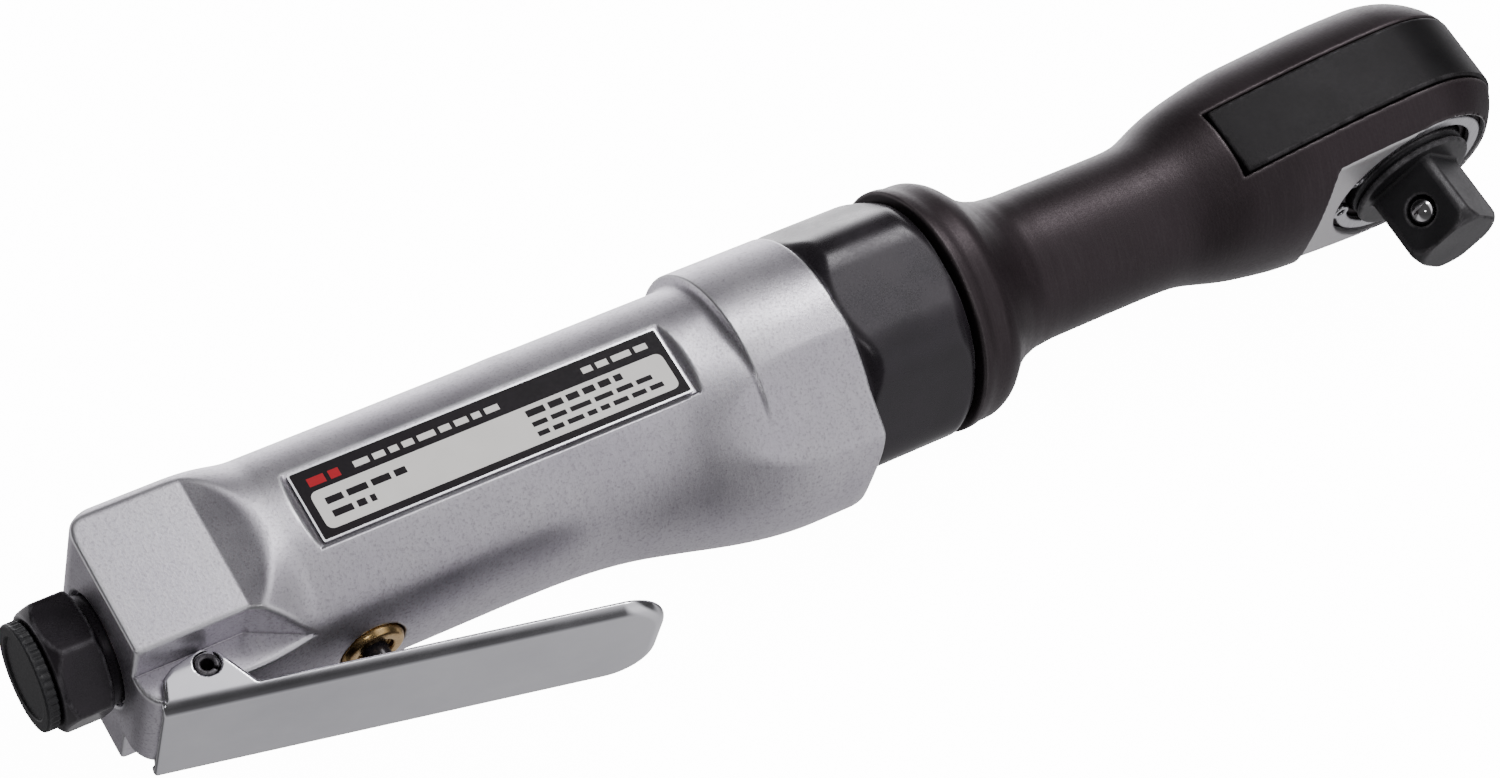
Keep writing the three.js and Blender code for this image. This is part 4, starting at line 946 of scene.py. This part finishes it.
def nut_field(x, d, s):
    r = np.hypot(d, s)
    prism = hexagon(d, s, 37, NUT_TURN)
    prism = smooth_max(prism, r - 20.1, 0.9)
    for face, way in ((NUT_LOW[0], 1), (NUT_HIGH[0], -1)):
        depth = way * (x - face)
        prism = smooth_max(prism, (r - 18.5 - depth * 0.75) * 0.8, 0.7)
    prism = smooth_max(prism, slab(x, NUT_LOW[0], NUT_HIGH[0]), 0.35)
    return smooth_max(prism, 15.8 - r, 0.4)


nut = skin("hex_coupling", nut_field, (-112.6, -21, -21), (-92.2, 21, 21), 0.4)
dress(nut, BLACK, "tool", "coupling_nut", slot="blackened_steel")


# ---- Ratchet housing ------------------------------------------------------------------

HEAD_LOW = node_box("ratchet_housing")[0]
RING_LOW, RING_HIGH = node_box("retaining_ring")
RING_D = AXIS_Y - (RING_LOW[1] + RING_HIGH[1]) / 2
RECESS_FLOOR = AXIS_Y - RING_HIGH[1] - 0.3
FLANGE_REAR = HEAD_LOW[0]
FLARE = eased(
    [
        (-92, 19.88), (-90.3, 19.88), (-89.7, 19.55), (-86.6, 19.5), (-84.6, 18.6), (-82.8, 16.8),
        (-80.8, 14.95), (-78.2, 13.45), (-75.2, 12.5), (-71.2, 12.12), (-60, 12.05), (-49.5, 12.05),
    ],
    0.55,
)
HEAD_BACK = eased(
    [
        (-52, 12.05), (-47, 12.1), (-41.9, 14.2), (-38.2, 15.3), (-34.6, 16), (-27.2, 17.3),
        (-8.8, 18.05), (0, 18.1),
    ],
    1.8,
)
HEAD_BELLY = eased(
    [
        (-52, 12.05), (-46, 12.1), (-41.9, 13), (-38.2, 13.8), (-34.6, 14.4), (-27.2, 15.4),
        (-8.8, 15.65), (0, 15.65),
    ],
    1.8,
)
HEAD_SIDE = eased(
    [(-52, 12.05), (-44, 12.9), (-36, 15.3), (-25, 17.3), (-14, 19.1), (-4, 20.1), (0, 20.2)], 2.2
)


def head_field(x, d, s):
    r = np.where(x > 0, np.hypot(x, s), np.abs(s))
    half = np.where(d < 0, HEAD_BACK(x), HEAD_BELLY(x))
    power = 2.0 + 0.2 * between(-50, -34, x)
    return oval(d, r, half, HEAD_SIDE(np.minimum(x, 0)), power)


def forging_field(x, d, s):
    r = np.hypot(d, s)
    share = between(-56, -48, x)
    body = (r - FLARE(x)) * 0.9 * (1 - share) + head_field(x, d, s) * share
    body = smooth_max(body, FLANGE_REAR - x, 0.5)
    about_drive = np.hypot(x, s)
    spotface = np.maximum(about_drive - 23.8, 11.5 - d)
    body = smooth_max(body, -spotface, 0.4)
    recess = np.maximum(about_drive - 14.8, RECESS_FLOOR - d)
    body = smooth_max(body, -recess, 0.4)
    slot = np.maximum(np.abs(d) - 6.3, -(x + 36))
    body = smooth_max(body, -slot, 0.5)
    knob = np.maximum(about_drive - 11, 13.6 + d)
    body = smooth_max(body, -knob, 0.4)
    body = np.maximum(body, -np.maximum(about_drive - 10.9, -d))
    body = np.maximum(body, -np.maximum(about_drive - 8.3, d))
    body = np.maximum(body, -np.maximum(about_drive - 11.4, slab(d, -7.7, 0)))
    socket = np.maximum(r - 15.8, x + 85.9)
    bore = np.minimum(socket, np.maximum(r - 8.7, x + 38.5))
    bore = np.minimum(bore, np.maximum(r - 6.2, slab(x, -40, -35)))
    return smooth_max(body, -bore, 0.3)


def spotface_mark(x, d, s, facing):
    """1 on the flat machined round the square drive, 0.8 on its recess's wall."""
    about_drive = np.hypot(x, s)
    level = 1 - np.clip((np.abs(d - 11.5) - 0.15) / 0.2, 0, 1)
    face = level * np.clip((facing - 0.6) / 0.2, 0, 1) * (about_drive < 23.7)
    wall = np.clip((d - RECESS_FLOOR - 0.2) / 0.3, 0, 1) * (about_drive < 15) * (d < 11.6)
    return np.maximum(face, 0.8 * wall)


forging = skin(
    "ratchet_shell", forging_field, (-92.6, -20.6, -20.7), (20.8, 20.6, 20.7), 0.4, spotface_mark
)
dress(forging, FORGING, "tool", "ratchet_housing", slot="browned_steel")


# ---- Yoke, drive and knob -------------------------------------------------------------


def yoke_field(x, d, s):
    r = np.hypot(x, s)
    outline = np.where(x > 0, r, np.abs(s)) - HEAD_SIDE(np.minimum(x, 0)) + 0.85
    outline = smooth_max(outline, -(x + 35.2), 0.4)
    blank = smooth_max(outline, np.abs(d) - 6.1, 0.5)
    angle = np.arctan2(s, x)
    teeth = 12.3 + 0.9 * (0.5 - np.abs(np.mod(angle * 30 / (2 * math.pi), 1) - 0.5)) * 2
    blank = np.maximum(blank, teeth - r)
    fork = np.maximum(np.abs(s) - 7.7, x + 22)
    return smooth_max(blank, -fork, 0.3)


yoke = skin("yoke_ring", yoke_field, (-36, -6.6, -20), (20, 6.6, 20), 0.36)
dress(yoke, YOKE_BLACK, "yoke", "ratchet_yoke", slot="blackened_steel")

DRIVE_TURN = math.radians(9)
DRIVE_END = AXIS_Y
DETENT_D = AXIS_Y - float(np.mean([corner[1] for corner in node_box("detent_ball")]))
DETENT_ANGLE = DRIVE_TURN + math.radians(135)


def drive_field(x, d, s):
    r = np.hypot(x, s)
    body = smooth_max(r - 11.65, np.abs(d) - 5.85, 0.3)
    body = np.minimum(body, smooth_max(r - 8.0, slab(d, -13.3, -5), 0.3))
    shoulder = smooth_max(r - 10.55, slab(d, 5, 12.65), 0.5)
    groove = np.hypot(r - 10.7, d - 11.2) - 0.55
    shoulder = smooth_max(shoulder, -groove, 0.2)
    body = np.minimum(body, shoulder)
    body = smooth_min(body, square_field(x, d, s), 0.6)
    pocket = np.maximum(np.maximum(slab(x, 0.5, 13), np.abs(d) - 5), np.abs(s) - 4.6)
    body = np.maximum(body, -pocket)
    body = np.maximum(body, -np.maximum(r - 2.8, d - 2))
    along = x * math.cos(DETENT_ANGLE) + s * math.sin(DETENT_ANGLE)
    across = -x * math.sin(DETENT_ANGLE) + s * math.cos(DETENT_ANGLE)
    hole = np.maximum(np.hypot(across, d - DETENT_D) - 2.6, 0.5 - along)
    return smooth_max(body, -hole, 0.35)


def square_field(x, d, s):
    """The square drive with turned corners and a worn, chamfered end."""
    a = x * math.cos(DRIVE_TURN - math.pi / 4) + s * math.sin(DRIVE_TURN - math.pi / 4)
    b = -x * math.sin(DRIVE_TURN - math.pi / 4) + s * math.cos(DRIVE_TURN - math.pi / 4)
    r = np.hypot(x, s)
    square = smooth_max(np.maximum(np.abs(a), np.abs(b)) - 6.35, r - 8.25, 0.35)
    square = smooth_max(square, slab(d, 5, DRIVE_END), 0.4)
    return smooth_max(square, (r - 6.9 + (d - DRIVE_END) * 0.85) * 0.76, 0.5)


drive = skin("drive_spindle", drive_field, (-12.3, -13.9, -12.3), (12.3, 26.2, 12.3), 0.3)
dress(drive, DRIVE_BLACK, "drive", "anvil", slot="blackened_steel")


def knob_field(x, d, s):
    """The reversing knob: a disc with a raised thumb bar and a stem."""
    r = np.hypot(x, s)
    plate_part = smooth_max(r - 10.25, slab(d, -15.4, -13.65), 0.5)
    bar = smooth_max(rounded_box(x, s, 8.6, 1.8, 1.2), slab(d, -16.4, -14), 0.6)
    dish = np.hypot(np.hypot(x, s), d + 17.6) - 4.2
    plate_part = smooth_max(plate_part, -np.maximum(dish, -np.abs(s) + 2.4), 0.4)
    stem = smooth_max(r - 2.6, slab(d, -14.5, 1.7), 0.3)
    body = np.minimum(smooth_min(plate_part, bar, 0.5), stem)
    return np.maximum(body, -np.maximum(np.hypot(d, s) - 1.25, -1.4 - x))


knob = skin("direction_knob", knob_field, (-10.9, -17, -10.9), (10.9, 2.3, 10.9), 0.26)
dress(knob, BLACK, "knob", "reverse_knob", slot="blackened_steel")


def ring_field(x, d, s):
    """A snap ring with two eyed ends."""
    r = np.hypot(x, s)
    band = slab(r, 11.9, 14.0)
    gap = np.maximum(np.abs(s) + x * 0.31, x)
    band = smooth_max(band, -gap, 0.4)
    for way in (1, -1):
        eye = np.hypot(x + 12.2, s - way * 4.4) - 1.6
        hole = np.hypot(x + 12.2, s - way * 4.4) - 0.7
        band = np.maximum(smooth_min(band, eye, 0.3), -hole)
    return smooth_max(band, np.abs(d - RING_D) - 0.55, 0.3)


snap_ring = skin("snap_ring", ring_field, (-14.7, RING_D - 1, -14.7), (14.7, RING_D + 1, 14.7), 0.22)
dress(snap_ring, BRIGHT, "tool", "retaining_ring", slot="bright_steel")


def ball_field(x, d, s):
    reach = 4.8
    return np.sqrt(
        (x - reach * math.cos(DETENT_ANGLE)) ** 2
        + (d - DETENT_D) ** 2
        + (s - reach * math.sin(DETENT_ANGLE)) ** 2
    ) - 2.4


ball = skin("lock_ball", ball_field, (-7, DETENT_D - 2.8, -0.2), (-1, DETENT_D + 2.8, 5.6), 0.2)
dress(ball, BALL, "ball", "detent_ball", slot="bright_steel")


# ---- CAD nodes that stay --------------------------------------------------------------

SLOT_FINISHES = {
    "bright_steel": BRIGHT,
    "brass": BRASS,
    "bronze": BRONZE,
    "blackened_steel": BLACK,
    "browned_steel": FORGING,
    "seal_rubber": RUBBER,
    "vane_resin": RESIN,
    "muffler_felt": FELT,
    "plug_plastic": PLASTIC,
    "lever_chrome": CHROME,
    "housing_aluminium": ALUMINIUM,
    "nameplate": BRIGHT,
}
for part in frame["record"]["subparts"]:
    node = frame["nodes"][part["node"]]
    node.data.materials.clear()
    node.data.materials.append(SLOT_FINISHES[part["material_slot"]])


# ---- Floor, light and camera ----------------------------------------------------------


def floor_material():
    f = Finish("floor_paper")
    f.plain(Metallic=0.0, Roughness=0.9, Emission_Strength=14.0)
    f.shader.inputs["Emission Color"].default_value = (1, 1, 1, 1)
    f.colour(f.mix(f.span(f.noise(6, 3, 0.5), 0.3, 0.7), (0.93, 0.93, 0.93), (0.95, 0.95, 0.95)))
    return f.material


def make_floor(level):
    mesh = bpy.data.meshes.new("floor")
    size = 6.0
    corners = [(-size, -size, level), (size, -size, level), (size, size, level), (-size, size, level)]
    mesh.from_pydata(corners, [], [(0, 1, 2, 3)])
    floor = bpy.data.objects.new("floor", mesh)
    bpy.context.scene.collection.objects.link(floor)
    floor.data.materials.append(floor_material())
    floor.visible_glossy = False
    floor.visible_diffuse = False
    floor.visible_shadow = False


def area_light(name, place, target, size, power, colour=(1, 1, 1)):
    data = bpy.data.lights.new(name, "AREA")
    data.shape = "RECTANGLE"
    data.size, data.size_y = size
    data.energy = power
    data.color = colour
    light = bpy.data.objects.new(name, data)
    light.location = place
    light.rotation_mode = "QUATERNION"
    light.rotation_quaternion = (Vector(target) - Vector(place)).to_track_quat("-Z", "Y")
    bpy.context.scene.collection.objects.link(light)
    return light


ROOM = [
    (-180, 0.7), (-155, 1.2), (-140, 3.5), (-116, 3.5), (-104, 1.6), (-88, 0.7), (-76, 0.06),
    (-50, 0.03), (-42, 0.8), (-34, 1.8), (-16, 1.6), (0, 1.0), (30, 0.95), (60, 1.1), (85, 1.0),
    (105, 0.8), (150, 0.6), (180, 0.7),
]
DIM_END = [
    (-180, 0.1), (-155, 0.15), (-140, 1.0), (-112, 1.0), (-95, 0.25), (-80, 0.05), (0, 0.08),
    (60, 0.06), (100, 0.1), (140, 0.5), (165, 0.4), (180, 0.2),
]
BRIGHTEST = max(level for _, level in ROOM)


def bands(nodes, links, share, stops):
    """A colour ramp over the angle round the tool."""
    ramp = nodes.new("ShaderNodeValToRGB")
    elements = ramp.color_ramp.elements
    while len(elements) < len(stops):
        elements.new(0.5)
    for element, (degrees, value) in zip(elements, stops):
        element.position = (degrees + 180) / 360
        level = value / BRIGHTEST
        element.color = (level * 0.985, level * 0.97, level, 1)
    links.new(share, ramp.inputs["Fac"])
    return ramp.outputs["Color"]


def make_world():
    """A room of long soft bands beside the tool, dim towards both its ends."""
    world = bpy.data.worlds.new("studio")
    world.use_nodes = True
    nodes, links = world.node_tree.nodes, world.node_tree.links
    split = nodes.new("ShaderNodeSeparateXYZ")
    links.new(nodes.new("ShaderNodeTexCoord").outputs["Generated"], split.inputs[0])
    forward = nodes.new("ShaderNodeMath")
    forward.operation = "MULTIPLY"
    forward.inputs[1].default_value = -1
    links.new(split.outputs["Y"], forward.inputs[0])
    angle = nodes.new("ShaderNodeMath")
    angle.operation = "ARCTAN2"
    links.new(forward.outputs[0], angle.inputs[0])
    links.new(split.outputs["Z"], angle.inputs[1])
    share = nodes.new("ShaderNodeMapRange")
    share.inputs["From Min"].default_value = -math.pi
    share.inputs["From Max"].default_value = math.pi
    links.new(angle.outputs[0], share.inputs["Value"])
    lit = nodes.new("ShaderNodeMath")
    lit.operation = "MULTIPLY"
    for socket, (start, end) in zip(lit.inputs, ((0.08, 0.36), (0.85, 0.62))):
        edge = nodes.new("ShaderNodeMapRange")
        edge.interpolation_type = "SMOOTHSTEP"
        edge.inputs["From Min"].default_value = start
        edge.inputs["From Max"].default_value = end
        links.new(split.outputs["X"], edge.inputs["Value"])
        links.new(edge.outputs["Result"], socket)
    mix = nodes.new("ShaderNodeMix")
    mix.data_type = "RGBA"
    links.new(lit.outputs[0], mix.inputs["Factor"])
    links.new(bands(nodes, links, share.outputs["Result"], DIM_END), mix.inputs[6])
    links.new(bands(nodes, links, share.outputs["Result"], ROOM), mix.inputs[7])
    background = nodes["Background"]
    links.new(mix.outputs[2], background.inputs["Color"])
    background.inputs["Strength"].default_value = BRIGHTEST
    bpy.context.scene.world = world


def make_camera():
    right = Vector((0.8415, -0.5041, 0.1942))
    up = Vector((0.3481, 0.7809, 0.5187))
    back = Vector((-0.4131, -0.3690, 0.8326))
    data = bpy.data.cameras.new("camera")
    data.lens = 91.2
    data.sensor_width = 36
    camera = bpy.data.objects.new("camera", data)
    place = Vector((-0.3604, -0.1883, 0.4794))
    camera.matrix_world = Matrix.Translation(place) @ Matrix((right, up, back)).transposed().to_4x4()
    bpy.context.scene.collection.objects.link(camera)
    bpy.context.scene.camera = camera


low, high = cad_bounds
centre = (low + high) / 2
make_floor(low[2] - 0.0005)
make_world()
area_light("key", centre + Vector((0.36, 0.3, 0.66)), centre, (0.24, 0.2), 1.6)
area_light("front", centre + Vector((-0.3, -0.28, 0.62)), centre, (0.12, 0.12), 0.35)
fill = area_light("fill", centre + Vector((0.1, -0.1, 0.9)), centre, (0.9, 0.9), 5)
fill.visible_glossy = False
make_camera()
